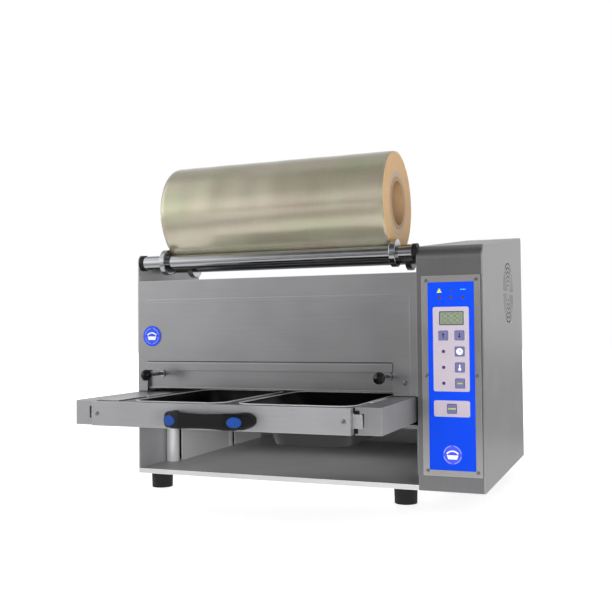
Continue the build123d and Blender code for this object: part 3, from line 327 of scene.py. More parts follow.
def turned_steel(name, colour, roughness, axis="X"):
    """Ground and polished stainless bar: near-mirror, with faint rings from the wheel."""
    material, tree, shader = start_material(name, Metallic=1.0)
    stretch = [8.0] * 3
    stretch[AXES.index(axis)] = 1 / sizes().turning_pitch
    where = add(tree, "TexCoord", {}).outputs["Object"]
    turned = add(tree, "VectorMath", {0: where, 1: stretch}, operation="MULTIPLY")
    rings = add(tree, "TexNoise", {"Vector": turned, "Scale": 1.0})
    smears = add(tree, "TexNoise", {"Vector": where, "Scale": 30.0, "Detail": 3.0})
    shade = add(tree, "Mix", {0: smears, 6: scaled(colour, 0.88), 7: colour}, data_type="RGBA")
    dull = add(tree, "MapRange", {0: smears, 1: 0.3, 2: 0.7, 3: roughness, 4: roughness + 0.08})
    bumps = relief(tree, rings, 0.003 * MM)
    feed(tree, shader, {"Base Color": shade, "Roughness": dull, "Normal": bumps})
    return material


def milled_metal(name, colour, roughness):
    """Milled aluminium or bronze: satin, with short overlapping cutter marks."""
    material, tree, shader = start_material(name, Metallic=1.0)
    where = add(tree, "TexCoord", {}).outputs["Object"]
    cuts = (1 / (4 * MM), 1 / (1.5 * MM), 1 / (4 * MM))
    milled = add(tree, "VectorMath", {0: where, 1: cuts}, operation="MULTIPLY")
    marks = add(tree, "TexNoise", {"Vector": milled, "Scale": 1.0, "Detail": 3.0})
    shade = add(
        tree, "Mix", {0: marks, 6: scaled(colour, 0.8), 7: scaled(colour, 1.1)}, data_type="RGBA"
    )
    dull = add(tree, "MapRange", {0: marks, 1: 0.3, 2: 0.7, 3: roughness - 0.05, 4: roughness + 0.08})
    bumps = relief(tree, marks, 0.02 * MM)
    feed(tree, shader, {"Base Color": shade, "Roughness": dull, "Normal": bumps})
    return material


def moulded_plastic(name, colour, roughness, grain_size, grain_depth, shine=0.35):
    """Injection moulded plastic or rubber: an even colour with the mould's fine spark grain,
    worn a little smoother in places."""
    material, tree, shader = start_material(name, Specular_IOR_Level=shine)
    where = add(tree, "TexCoord", {}).outputs["Object"]
    grain = add(tree, "TexNoise", {"Vector": where, "Scale": 1 / grain_size, "Detail": 3.0})
    wear = add(tree, "TexNoise", {"Vector": where, "Scale": 28.0, "Detail": 4.0})
    shade = add(
        tree, "Mix", {0: wear, 6: scaled(colour, 0.88), 7: scaled(colour, 1.14)}, data_type="RGBA"
    )
    dull = add(tree, "MapRange", {0: wear, 1: 0.3, 2: 0.7, 3: roughness - 0.03, 4: roughness + 0.06})
    bumps = relief(tree, grain, grain_depth)
    feed(tree, shader, {"Base Color": shade, "Roughness": dull, "Normal": bumps})
    return material


def printed_polyester(name, colour, roughness=0.5, shine=0.12):
    """Back-printed polyester film: a flat, even ink under a lightly textured matt skin.

    Other surfaces see it as grey, as the cards of a studio keep its colour off the steel.
    """
    material, tree, shader = start_material(name, Specular_IOR_Level=shine)
    where = add(tree, "TexCoord", {}).outputs["Object"]
    skin = add(tree, "TexNoise", {"Vector": where, "Scale": 1 / (0.7 * MM)})
    ink = add(tree, "TexNoise", {"Vector": where, "Scale": 45.0, "Detail": 3.0})
    shade = add(
        tree, "Mix", {0: ink, 6: scaled(colour, 0.96), 7: scaled(colour, 1.04)}, data_type="RGBA"
    )
    seen = add(tree, "LightPath", {}).outputs["Is Camera Ray"]
    printed_shade = add(tree, "Mix", {0: seen, 6: (0.2, 0.2, 0.22, 1.0), 7: shade}, data_type="RGBA")
    dull = add(tree, "MapRange", {0: skin, 1: 0.3, 2: 0.7, 3: roughness - 0.04, 4: roughness + 0.04})
    bumps = add(tree, "Bump", {"Height": skin, "Distance": 0.008 * MM})
    feed(tree, shader, {"Base Color": printed_shade, "Roughness": dull, "Normal": bumps})
    return material


def coated_pan(name, colour):
    """Drawn aluminium with a sprayed non-stick coating: black, satin, faintly speckled,
    scuffed along the way the trays slide."""
    material, tree, shader = start_material(name, Coat_Weight=0.12, Coat_Roughness=0.25)
    where = add(tree, "TexCoord", {}).outputs["Object"]
    specks = add(tree, "TexNoise", {"Vector": where, "Scale": 1 / (0.8 * MM)})
    slid = add(tree, "VectorMath", {0: where, 1: (60.0, 12.0, 60.0)}, operation="MULTIPLY")
    scuffs = add(tree, "TexNoise", {"Vector": slid, "Scale": 1.0, "Detail": 5.0})
    shade = add(
        tree, "Mix", {0: scuffs, 6: scaled(colour, 0.8), 7: scaled(colour, 1.5)}, data_type="RGBA"
    )
    dull = add(tree, "MapRange", {0: scuffs, 1: 0.3, 2: 0.7, 3: 0.34, 4: 0.48})
    bumps = relief(tree, specks, 0.01 * MM)
    feed(tree, shader, {"Base Color": shade, "Roughness": dull, "Normal": bumps})
    return material


def radius_from(tree, where, centre):
    """Distance from an axis along X through a centre, in metres."""
    offset = add(tree, "VectorMath", {0: where, 1: centre}, operation="SUBTRACT")
    flat = add(tree, "VectorMath", {0: offset, 1: (0.0, 1.0, 1.0)}, operation="MULTIPLY")
    return add(tree, "VectorMath", {0: flat}, operation="LENGTH")


def wound_film(name):
    """Clear polyester film wound tight: glossy, taupe, with faint green and rose tints
    where thin air gaps between the turns interfere, and fine marks round the roll."""
    material, tree, shader = start_material(
        name, Metallic=0.7, IOR=1.6, Coat_Weight=0.5, Coat_Roughness=0.1
    )
    c = colours()
    where = add(tree, "TexCoord", {}).outputs["Object"]
    long = add(tree, "VectorMath", {0: where, 1: (6.0, 14.0, 14.0)}, operation="MULTIPLY")
    broad = add(tree, "TexNoise", {"Vector": long, "Scale": 1.0})
    patchy = add(tree, "TexNoise", {"Vector": long, "Scale": 1.7, "Detail": 1.0})
    round_it = (1 / (5 * MM), 20.0, 20.0)
    wound = add(tree, "VectorMath", {0: where, 1: round_it}, operation="MULTIPLY")
    fine = add(tree, "TexNoise", {"Vector": wound, "Scale": 1.0, "Detail": 3.0})
    greener = add(tree, "MapRange", {0: broad, 1: 0.35, 2: 0.7, 4: 0.9})
    rosier = add(tree, "MapRange", {0: patchy, 1: 0.4, 2: 0.75, 4: 0.7})
    green = add(tree, "Mix", {0: greener, 6: c.film, 7: c.film_green}, data_type="RGBA")
    warm = add(tree, "Mix", {0: rosier, 6: green, 7: c.film_rose}, data_type="RGBA")
    shares = add(tree, "MapRange", {0: fine, 1: 0.3, 2: 0.7, 3: 0.98, 4: 1.02})
    shade = add(tree, "VectorMath", {0: warm, "Scale": shares}, operation="SCALE")
    dull = add(tree, "MapRange", {0: fine, 1: 0.3, 2: 0.7, 3: 0.2, 4: 0.26})
    bumps = add(tree, "Bump", {"Height": fine, "Distance": 0.004 * MM})
    feed(tree, shader, {"Base Color": shade, "Roughness": dull, "Normal": bumps})
    return material


def slit_film_edge(name, centre, core_radius):
    """Slit edges of the windings: thousands of cut edges side by side look matt and amber,
    greyer next to the core, with faint rings where the winding tension changed."""
    material, tree, shader = start_material(name, Roughness=0.5)
    c = colours()
    where = add(tree, "TexCoord", {}).outputs["Object"]
    radius = radius_from(tree, where, centre)
    band_start = core_radius + 0.8 * sizes().core_band
    band_end = core_radius + 1.15 * sizes().core_band
    band = add(
        tree,
        "MapRange",
        {0: radius, 1: band_start, 2: band_end},
        interpolation_type="SMOOTHSTEP",
    )
    turns = add(tree, "Math", {0: radius, 1: 1 / sizes().winding_pitch}, operation="MULTIPLY")
    rings = add(tree, "TexNoise", {"W": turns, "Scale": 1.0, "Detail": 3.0}, noise_dimensions="1D")
    blotches = add(tree, "TexNoise", {"Vector": where, "Scale": 30.0})
    amber = add(
        tree, "Mix", {0: blotches, 6: scaled(c.film_edge, 0.88), 7: scaled(c.film_edge, 1.06)},
        data_type="RGBA",
    )
    body = add(tree, "Mix", {0: band, 6: c.first_windings, 7: amber}, data_type="RGBA")
    shares = add(tree, "MapRange", {0: rings, 3: 0.86, 4: 1.1})
    shade = add(tree, "VectorMath", {0: body, "Scale": shares}, operation="SCALE")
    bumps = add(tree, "Bump", {"Height": rings, "Distance": 0.12 * MM})
    feed(tree, shader, {"Base Color": shade, "Normal": bumps})
    return material


def spiral_cardboard(name, centre):
    """Spiral wound kraft board: matt fibres with plies that show as thin rings at the end
    and slanted joints in the bore."""
    material, tree, shader = start_material(name, Roughness=0.85)
    c = colours()
    where = add(tree, "TexCoord", {}).outputs["Object"]
    split = add(tree, "SeparateXYZ", {0: where})
    laid = add(tree, "VectorMath", {0: where, 1: (140.0, 420.0, 420.0)}, operation="MULTIPLY")
    fibres = add(tree, "TexNoise", {"Vector": laid, "Scale": 1.0, "Detail": 5.0})
    plies = add(
        tree, "Math", {0: radius_from(tree, where, centre), 1: 1 / (1.2 * MM)}, operation="MULTIPLY"
    )
    slant = add(
        tree, "Math", {0: split.outputs["X"], 1: 2 / (90 * MM), 2: plies}, operation="MULTIPLY_ADD"
    )
    joint = add(tree, "Math", {0: split.outputs["Z"], 1: 6.0, 2: slant}, operation="MULTIPLY_ADD")
    wave = add(tree, "Math", {0: joint, 1: 0.5}, operation="PINGPONG")
    fibrous = add(
        tree, "Mix", {0: fibres, 6: scaled(c.cardboard, 0.74), 7: scaled(c.cardboard, 1.08)},
        data_type="RGBA",
    )
    shares = add(tree, "MapRange", {0: wave, 2: 0.5, 3: 0.86, 4: 1.0})
    shade = add(tree, "VectorMath", {0: fibrous, "Scale": shares}, operation="SCALE")
    bumps = add(tree, "Bump", {"Height": fibres, "Distance": 0.1 * MM})
    feed(tree, shader, {"Base Color": shade, "Normal": bumps})
    return material


def circuit_laminate(name):
    """Glass epoxy board under green solder mask: glossy, with faint copper tracks."""
    material, tree, shader = start_material(name, Roughness=0.3)
    where = add(tree, "TexCoord", {}).outputs["Object"]
    tracks = add(
        tree,
        "TexBrick",
        {
            "Vector": where,
            "Color1": linear("#0F4A22"),
            "Color2": linear("#13562A"),
            "Mortar": linear("#2C7A3D"),
            "Scale": 1 / (24 * MM),
            "Mortar Size": 0.03,
        },
    )
    bumps = add(tree, "Bump", {"Height": tracks.outputs["Fac"], "Distance": 0.03 * MM})
    feed(tree, shader, {"Base Color": tracks, "Normal": bumps})
    return material


def display_glass(name):
    """Unlit liquid crystal under its window: grey-green, smooth, slightly glossy."""
    material, tree, shader = start_material(name, Coat_Weight=0.3, Coat_Roughness=0.1)
    green = colours().display_green
    where = add(tree, "TexCoord", {}).outputs["Object"]
    haze = add(tree, "TexNoise", {"Vector": where, "Scale": 90.0})
    shade = add(
        tree, "Mix", {0: haze, 6: scaled(green, 0.92), 7: scaled(green, 1.05)}, data_type="RGBA"
    )
    dull = add(tree, "MapRange", {0: haze, 3: 0.3, 4: 0.4})
    feed(tree, shader, {"Base Color": shade, "Roughness": dull})
    return material


# ---------------------------------------------------------------- mesh helpers


def dress(material, *names):
    """Give carried-over CAD nodes their finish."""
    for name in names:
        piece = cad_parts[name]
        piece.data.materials.clear()
        piece.data.materials.append(material)


def make_piece(name, mesh, materials, body, replaces=()):
    """Turn a mesh into a piece that rides on a CAD body."""
    piece = bpy.data.objects.new(name, mesh)
    bpy.context.scene.collection.objects.link(piece)
    for material in materials:
        mesh.materials.append(material)
    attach(piece, body)
    if replaces:
        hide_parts(*replaces)
    return piece


def mesh_from(name, build):
    """A mesh filled by a function that is given an empty bmesh."""
    mesh = bpy.data.meshes.new(name)
    work = bmesh.new()
    build(work)
    bmesh.ops.recalc_face_normals(work, faces=work.faces)
    work.to_mesh(mesh)
    work.free()
    return mesh


def bridge_rings(work, rings, material_index=0, smooth=True):
    """Join rings of the same number of vertices, each to the next, and return the faces."""
    faces = []
    for first, second in zip(rings, rings[1:]):
        count = len(first)
        for i in range(count):
            j = (i + 1) % count
            face = work.faces.new((first[i], first[j], second[j], second[i]))
            face.material_index = material_index
            face.smooth = smooth
            faces.append(face)
    return faces


def islands(node):
    """Boxes of a CAD node's separate solids, as (lowest corner, highest corner)."""
    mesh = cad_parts[node].data
    work = bmesh.new()
    work.from_mesh(mesh)
    bmesh.ops.remove_doubles(work, verts=work.verts, dist=1e-6)
    unseen = set(work.verts)
    boxes = []
    while unseen:
        queue = [unseen.pop()]
        found = []
        while queue:
            vertex = queue.pop()
            found.append(vertex.co.copy())
            for edge in vertex.link_edges:
                other = edge.other_vert(vertex)
                if other in unseen:
                    unseen.remove(other)
                    queue.append(other)
        low = Vector(min(p[i] for p in found) for i in range(3))
        high = Vector(max(p[i] for p in found) for i in range(3))
        boxes.append((low, high))
    work.free()
    return sorted(boxes, key=lambda box: (round(box[0].x, 4), round(box[0].z, 4)))


def middle(box):
    return (box[0] + box[1]) / 2


def circle_points(radius, centre=(0.0, 0.0), steps=40, start=0.0, sweep=math.tau):
    """Points round a circle or along an arc."""
    closed = abs(sweep - math.tau) < 1e-6
    count = steps if closed else steps + 1
    return [
        (
            centre[0] + radius * math.cos(start + sweep * i / steps),
            centre[1] + radius * math.sin(start + sweep * i / steps),
        )
        for i in range(count)
    ]


def arc_band(radius, width, start, sweep, centre=(0.0, 0.0), steps=24):
    """Outline of a curved stripe."""
    outer = circle_points(radius + width / 2, centre, steps, start, sweep)
    inner = circle_points(radius - width / 2, centre, steps, start, sweep)
    return outer + inner[::-1]


def rounded_box(width, height, corner, centre=(0.0, 0.0), steps=6):
    """Outline of a rectangle with rounded corners."""
    points = []
    for turn, (sx, sy) in enumerate(((1, 1), (-1, 1), (-1, -1), (1, -1))):
        corner_centre = (
            centre[0] + sx * (width / 2 - corner),
            centre[1] + sy * (height / 2 - corner),
        )
        start = turn * math.pi / 2
        points += circle_points(corner, corner_centre, steps, start, math.pi / 2)
    return points


def moved(points, centre, factor=1.0):
    """An outline scaled and moved."""
    return [(centre[0] + factor * x, centre[1] + factor * y) for x, y in points]


def in_mm(points):
    return [(x * MM, y * MM) for x, y in points]


def flat_mesh(name, outlines, y_back, thickness):
    """A thin upright plate facing the operator, from outlines in X and Z; inner ones are holes."""
    curve = bpy.data.curves.new(name, "CURVE")
    curve.dimensions = "2D"
    curve.fill_mode = "BOTH"
    curve.extrude = thickness / 2
    for outline in outlines:
        spline = curve.splines.new("POLY")
        spline.points.add(len(outline) - 1)
        for point, (x, z) in zip(spline.points, outline):
            point.co = (x, z, 0.0, 1.0)
        spline.use_cyclic_u = True
    holder = bpy.data.objects.new(name + "_outline", curve)
    bpy.context.scene.collection.objects.link(holder)
    bpy.context.view_layer.update()
    mesh = bpy.data.meshes.new_from_object(
        holder.evaluated_get(bpy.context.evaluated_depsgraph_get())
    )
    bpy.data.objects.remove(holder)
    bpy.data.curves.remove(curve)
    stand = Matrix.Translation((0.0, y_back - thickness / 2, 0.0)) @ Matrix.Rotation(
        math.pi / 2, 4, "X"
    )
    mesh.transform(stand)
    mesh.name = name
    return mesh


def printed(name, outlines, y_back, material, body, thickness=None):
    """A printed layer on a surface that faces the operator."""
    mesh = flat_mesh(name, outlines, y_back, thickness or sizes().print_thickness)
    return make_piece(name, mesh, [material], body)


def socket_radius(angle, across, lobes):
    """Radius of a recess at an angle: a hexagon for six lobes, a cross for four."""
    step = math.tau / lobes
    local = (angle + step / 2) % step - step / 2
    if lobes == 4:
        return across * (1.0 if abs(local) < math.radians(20) else 0.42)
    return across * math.cos(step / 2) / math.cos(abs(abs(local) - step / 2))


def add_screw_head(work, centre, radius, height, lobes, steps=48):
    """A domed screw head facing the operator, with a driver recess."""
    x, y_seat, z = centre
    recess = 0.5 * radius
    profile = (
        (1.0, 0.0),
        (1.0, 0.35),
        (0.93, 0.66),
        (0.8, 0.87),
        (0.66, 0.97),
    )
    rings = [
        [
            work.verts.new(
                (
                    x + share * radius * math.cos(math.tau * i / steps),
                    y_seat - rise * height,
                    z + share * radius * math.sin(math.tau * i / steps),
                )
            )
            for i in range(steps)
        ]
        for share, rise in profile
    ]
    for rise in (1.0, 0.25):
        ring = []
        for i in range(steps):
            angle = math.tau * i / steps
            reach = socket_radius(angle, recess, lobes)
            ring.append(
                work.verts.new(
                    (x + reach * math.cos(angle), y_seat - rise * height, z + reach * math.sin(angle))
                )
            )
        rings.append(ring)
    rim = len(profile) - 1
    bridge_rings(work, rings[: rim + 1])
    bridge_rings(work, rings[rim:], smooth=False)
    floor = work.faces.new(rings[-1])
    seat = work.faces.new(rings[0])
    floor.smooth = seat.smooth = False


# ---------------------------------------------------------------- the machine's parts


class FILM_SEALER_OT_housing(bpy.types.Operator):
    """Brushed stainless sheets of the bay and the control box"""

    bl_idname = "film_sealer.housing"
    bl_label = "Housing sheets"

    def execute(self, context):
        c = colours()
        lengthwise = brushed_stainless("stainless_sheet_brushed_sideways", c.sheet_steel, 0.32, "X")
        # Painted shade: the control box's upright sheets take the housing sheet steel darkened to 0.66, a
        # shaded copy of the same steel.
        upright = brushed_stainless(
            "stainless_sheet_upright_painted_shade", scaled(c.sheet_steel, 0.66), 0.32, "Z"
        )
        cover = brushed_stainless("stainless_cover_brushed", c.cover_steel, 0.34, "Y", graze=0.74)
        matt = brushed_stainless("stainless_sheet_matt", c.bay_steel, 0.48, "Y", metal=0.4)
        dress(lengthwise, "front_panel", "rear_cover", "top_cover")
        outer = brushed_stainless("stainless_side_brushed", c.sheet_steel, 0.4, "Y", metal=0.5)
        dress(cover, "side_cover")
        dress(outer, "left_side_panel")
        dress(matt, "base_tray", "bay_liners")
        dress(upright, "control_shell", "control_rear_plate")
        return {"FINISHED"}


class FILM_SEALER_OT_supports(bpy.types.Operator):
    """Turned pillars, rails and rubber feet"""

    bl_idname = "film_sealer.supports"
    bl_label = "Pillars, rails and feet"

    def execute(self, context):
        c = colours()
        bar = brushed_stainless("stainless_bar_satin", linear("#DEDEDF"), 0.26, "Z", metal=0.6)
        dress(bar, "rail_pillars")
        dress(brushed_stainless("stainless_bar_drawn", c.drawer_steel, 0.34, "Y"), "drawer_rails")
        rubber = moulded_plastic("rubber_moulded", c.rubber, 0.62, 0.8 * MM, 0.05 * MM)
        dress(rubber, "feet")
        return {"FINISHED"}


class FILM_SEALER_OT_rollers(bpy.types.Operator):
    """Polished rollers with their collars and black bushes"""

    bl_idname = "film_sealer.rollers"
    bl_label = "Rollers"

    def execute(self, context):
        c = colours()
        dress(
            turned_steel("stainless_tube_polished", c.polished_steel, 0.1),
            "front_roller",
            "rear_roller",
        )
        acetal = moulded_plastic("acetal_black_turned", c.black_plastic, 0.4, 1.0 * MM, 0.02 * MM)
        dress(acetal, "roller_bushes")
        return {"FINISHED"}


class FILM_SEALER_OT_film_roll(bpy.types.Operator):
    """Roll of film on its cardboard core"""

    bl_idname = "film_sealer.film_roll"
    bl_label = "Film roll"

    def execute(self, context):
        low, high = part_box("film_wrap")
        core_low, core_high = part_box("film_core")
        centre = middle((low, high))
        outer = (high.z - low.z) / 2
        inner = (core_high.z - core_low.z) / 2
        steps = 160
        side_rings = 90
        end_rings = 46
        round_off = sizes().winding_round
        round_length = 5 * round_off
        wave = 0.75 * round_off

        def ring(work, x, radius):
            return [
                work.verts.new(
                    (
                        x,
                        centre.y + radius * math.cos(math.tau * i / steps),
                        centre.z + radius * math.sin(math.tau * i / steps),
                    )
                )
                for i in range(steps)
            ]

        def build(work):
            length = high.x - low.x
            sides = []
            for i in range(side_rings + 1):
                share = i / side_rings
                sag = 0.25 * math.sin(share * 19.0) + 0.18 * math.sin(share * 43.0 + 1.0)
                near_end = min(share, 1 - share) * length
                shoulder = round_off * max(0.0, 1 - near_end / round_length)
                x = low.x + round_off + share * (length - 2 * round_off)
                sides.append(ring(work, x, outer - (0.45 + sag) * wave - shoulder))
            ends = []
            for x_end, inward in ((low.x, 1), (high.x, -1)):
                rings = []
                for i in range(end_rings + 1):
                    share = i / end_rings
                    radius = inner + (outer - 2 * round_off - inner) * share
                    step = 0.22 * math.sin(share * 31.0) + 0.2 * math.sin(share * 83.0)
                    rings.append(ring(work, x_end + inward * (0.5 + step) * MM, radius))
                ends.append(rings)
            bridge_rings(work, sides)
            bridge_rings(work, ends[0], 1)
            bridge_rings(work, ends[1], 1)
            bridge_rings(work, [sides[0], ends[0][-1]], 1)
            bridge_rings(work, [sides[-1], ends[1][-1]], 1)
            bridge_rings(work, [ends[0][0], ends[1][0]], 1)

        mesh = mesh_from("film_winding", build)
        film = wound_film("polyester_film_wound")
        edge = slit_film_edge("polyester_film_slit_edge", centre, inner)
        make_piece("film_winding", mesh, [film, edge], "film_roll", ["film_wrap"])
        dress(spiral_cardboard("kraft_board_spiral_wound", centre), "film_core")
        return {"FINISHED"}


class FILM_SEALER_OT_access_flap(bpy.types.Operator):
    """Hinged flap with its two ball knobs"""

    bl_idname = "film_sealer.access_flap"
    bl_label = "Access flap"

    def execute(self, context):
        c = colours()
        dress(brushed_stainless("stainless_flap_brushed", c.sheet_steel, 0.3, "X"), "access_flap")
        bright = turned_steel("stainless_rod_turned", c.polished_steel, 0.16, "Y")
        dress(bright, "knob_rods", "flap_hinge_pin")
        phenolic = moulded_plastic(
            "phenolic_ball_polished", c.black_plastic, 0.1, 3 * MM, 0.004 * MM, shine=0.4
        )
        dress(phenolic, "ball_knobs")
        return {"FINISHED"}


class FILM_SEALER_OT_drawer(bpy.types.Operator):
    """Drawer frame, mould plate, rims and coated pans"""

    bl_idname = "film_sealer.drawer"
    bl_label = "Drawer and pans"

    def execute(self, context):
        c = colours()
        satin = brushed_stainless("stainless_drawer_satin", c.drawer_steel, 0.42, "X", metal=0.65)
        inward = brushed_stainless(
            "stainless_arm_satin", scaled(c.drawer_steel, 1.35), 0.36, "Y", metal=0.93
        )
        dress(satin, "drawer_front_plate", "drawer_crossbars")
        dress(inward, "left_drawer_arm", "right_drawer_arm")
        dress(coated_pan("aluminium_mould_hard_anodised", scaled(c.pan_black, 1.5)), "mould_plate")
        dress(coated_pan("aluminium_pan_nonstick", c.pan_black), "shallow_pan", "deep_pan")
        rim = brushed_stainless("stainless_rim_satin", linear("#D8D8D8"), 0.35, "Y", metal=0.45)
        dress(rim, "cavity_rims", "mould_clamps")
        acetal = moulded_plastic("acetal_white_milled", linear("#DEDDD6"), 0.4, 1 * MM, 0.02 * MM)
        dress(acetal, "drawer_glides")
        self.latch()
        return {"FINISHED"}

    def latch(self):
        """Bright tab at the front plate's right end, with flat black patches of painted shadow above and
        below it.
        """
        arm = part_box("right_drawer_arm")
        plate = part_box("drawer_front_plate")
        lap = 0.4 * MM
        reach = 11.4 * MM
        left, right = plate[1].x - lap, arm[0].x + reach
        width = right - left
        x_middle, z_middle = (left + right) / 2, middle(plate).z - lap
        bright = brushed_stainless(
            "stainless_latch_bright", linear("#A2A2A3"), 0.3, "X", metal=0.6
        )
        tab = rounded_box(width, sizes().latch_height, 0.8 * MM, (x_middle, z_middle))
        printed(
            "drawer_latch_tab", [tab], arm[0].y, bright, "drawer", 0.9 * MM
        )
        # Painted shadow: flat black patches printed on the arm's front, where shade falls above and below
        # the tab.
        dark = moulded_plastic("latch_painted_shadow_black", linear("#0C0C0C"), 0.6, 1 * MM, 0.01 * MM)
        painted_shadow_patches = [
            rounded_box(share * width, tall, 0.5 * MM, (x_middle - aside * width, z_middle + rise))
            for share, tall, aside, rise in (
                (0.6, 5.4 * MM, 0.1, 13 * MM),
                (0.45, 7.5 * MM, 0.2, -14 * MM),
            )
        ]
        printed("drawer_latch_painted_shadow", painted_shadow_patches, arm[0].y, dark, "drawer")


class FILM_SEALER_OT_handle(bpy.types.Operator):
    """Bow handle of the drawer with its two oval screw caps"""

    bl_idname = "film_sealer.handle"
    bl_label = "Drawer handle"

    def execute(self, context):
        c = colours()
        s = sizes()
        low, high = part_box("drawer_handle")
        centre = (low + high) / 2
        half = (high.x - low.x) / 2 - s.handle_trim
        tall = (high.z - low.z) / 2
        bend = half - s.handle_shoulder
        slope = s.handle_fall / s.handle_shoulder
        steps = 56
        stations = 120

        def front_at(away):
            return low.y + slope * max(0.0, away - bend)

        def build_bow(work):
            rings = []
            for i in range(stations + 1):
                x = -half * math.cos(math.pi * i / stations)
                away = abs(x)
                foot = min(1.0, max(0.0, (away - s.foot_start) / (4 * MM)))
                foot = foot * foot * (3 - 2 * foot)
                end = max(0.0, (away - (half - tall)) / tall)
                round_off = 1 - math.sqrt(max(0.0, 1 - end * end))
                front = front_at(away)
                front += 0.75 * round_off * (high.y - front)
                back = (front + s.grip_depth) * (1 - foot) + high.y * foot
                end = 0.93 * end
                waist = 1 - s.grip_waist * (1 - min(1.0, away / bend) ** 2)
                rise = max(0.02, math.sqrt(max(0.0, 1 - end * end))) * waist * tall
                ring = []
                for j in range(steps):
                    angle = math.tau * j / steps
                    side, up = math.cos(angle), math.sin(angle)
                    reach = math.copysign(abs(side) ** 0.45, side)
                    y = (front + back) / 2 + (back - front) / 2 * reach
                    z = centre.z + rise * math.copysign(abs(up) ** 0.55, up)
                    ring.append(work.verts.new((centre.x + x, y, z)))
                rings.append(ring)
            bridge_rings(work, rings)
            work.faces.new(rings[0])
            work.faces.new(rings[-1])

        def build_caps(work):
            lean = math.atan(slope)
            for side in (-1, 1):
                x_seat = centre.x + side * s.cap_spread
                seat = Vector((x_seat, front_at(s.cap_spread), centre.z))
                along = Vector((math.cos(lean), side * math.sin(lean), 0.0))
                out = Vector((side * math.sin(lean), -math.cos(lean), 0.0))
                rings = []
                for share, rise in ((1.0, -0.4), (1.0, 0.35), (0.94, 0.7), (0.8, 0.92), (0.5, 1.0)):
                    ring = []
                    for j in range(steps):
                        angle = math.tau * j / steps
                        point = seat + out * (rise * s.cap_height)
                        point += along * (share * s.cap_length / 2 * math.cos(angle))
                        point.z += share * s.cap_tall / 2 * math.sin(angle)
                        ring.append(work.verts.new(point))
                    rings.append(ring)
                bridge_rings(work, rings)
                work.faces.new(rings[0])
                work.faces.new(rings[-1])

        nylon = moulded_plastic(
            "nylon_handle_grained", c.handle_black, 0.5, 0.9 * MM, 0.03 * MM, shine=0.25
        )
        cap = moulded_plastic(
            "nylon_cap_blue", c.cap_blue, 0.45, 0.9 * MM, 0.015 * MM, shine=0.25
        )
        make_piece(
            "handle_bow", mesh_from("handle_bow", build_bow), [nylon], "drawer",
            ["drawer_handle"],
        )
        make_piece(
            "handle_oval_caps", mesh_from("handle_oval_caps", build_caps), [cap], "drawer",
            ["handle_caps"],
        )
        return {"FINISHED"}


class FILM_SEALER_OT_screws(bpy.types.Operator):
    """Screws of the panels and of the drawer's front plate"""

    bl_idname = "film_sealer.screws"
    bl_label = "Screws"

    def execute(self, context):
        c = colours()
        steel = turned_steel("stainless_screw_turned", scaled(c.polished_steel, 0.7), 0.25, "Y")
        face_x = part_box("control_faceplate")

        def build_housing(work):
            for low, high in islands("housing_screws"):
                centre = middle((low, high))
                on_face = face_x[0].x < centre.x < face_x[1].x
                seat = face_x[0].y if on_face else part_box("control_shell")[0].y
                radius = (high.x - low.x) / 2
                add_screw_head(
                    work, (centre.x, seat, centre.z), radius, seat - low.y, 4 if on_face else 6
                )

        mesh = mesh_from("panel_screw_heads", build_housing)
        make_piece("panel_screw_heads", mesh, [steel], "housing", ["housing_screws"])
        low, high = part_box("drawer_front_plate")
        radius = sizes().plate_screw_radius
        inset = sizes().plate_screw_inset

        def build_drawer(work):
            for x in (low.x + inset, high.x - inset):
                add_screw_head(work, (x, low.y, (low.z + high.z) / 2), radius, 0.45 * radius, 6)

        mesh = mesh_from("drawer_plate_screws", build_drawer)
        make_piece("drawer_plate_screws", mesh, [steel], "drawer")
        return {"FINISHED"}


class FILM_SEALER_OT_control_panel(bpy.types.Operator):
    """Faceplate, printed label, display, lamps and keys"""

    bl_idname = "film_sealer.control_panel"
    bl_label = "Control panel"

    def execute(self, context):
        c = colours()
        s = sizes()
        plate = brushed_stainless("stainless_faceplate_brushed", c.plate_steel, 0.34, "Z")
        dress(plate, "control_faceplate")
        dress(printed_polyester("polyester_label_blue", c.label_blue), "membrane_label")
        dress(display_glass("display_window_greyish"), "display_window")
        lens = moulded_plastic(
            "polycarbonate_lens_red", c.lens_red, 0.22, 2 * MM, 0.004 * MM, shine=0.5
        )
        dress(lens, "indicator_lamps")
        keys = [name for name in sorted(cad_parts) if name.startswith("key_")]
        dress(printed_polyester("polyester_key_slate", c.key_slate, 0.36), *keys)

        low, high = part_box("membrane_label")
        lilac = printed_polyester("polyester_panel_lilac", c.panel_lilac)
        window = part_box("display_window")
        x_middle = (low.x + high.x) / 2
        width = high.x - low.x - 2 * s.panel_margin
        half_key = (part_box("key_up")[1].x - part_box("key_up")[0].x) / 2
        gap = 0.5 * MM
        key_corner = 1.6 * MM
        window_corner = 1.2 * MM
        over_window = 7.3 * MM

        def key_hole(name):
            key = middle(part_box(name))
            side = 2 * (half_key + gap)
            return rounded_box(side, side, key_corner, (key.x, key.z))

        panel_top = window[1].z + over_window
        panel_bottom = middle(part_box("key_mode")).z - half_key - s.key_margin
        upper = [
            rounded_box(
                width,
                panel_top - panel_bottom,
                s.panel_corner,
                (x_middle, (panel_top + panel_bottom) / 2),
            ),
            rounded_box(
                window[1].x - window[0].x + gap,
                window[1].z - window[0].z + gap,
                window_corner,
                (middle(window).x, middle(window).z),
            ),
        ]
        upper += [key_hole(name) for name in keys if name != "key_start"]
        for lamp in islands("indicator_lamps"):
            spot = middle(lamp)
            if panel_bottom < spot.z < panel_top:
                upper.append(circle_points((lamp[1].x - lamp[0].x) / 2 + gap, (spot.x, spot.z), 24))
        printed("label_panel_upper", upper, low.y, lilac, "housing")
        start = middle(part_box("key_start"))
        lower = [
            rounded_box(
                width,
                2 * (half_key + s.key_margin),
                s.panel_corner,
                (x_middle, start.z),
            ),
            key_hole("key_start"),
        ]
        printed("label_panel_lower", lower, low.y, lilac, "housing")
        return {"FINISHED"}


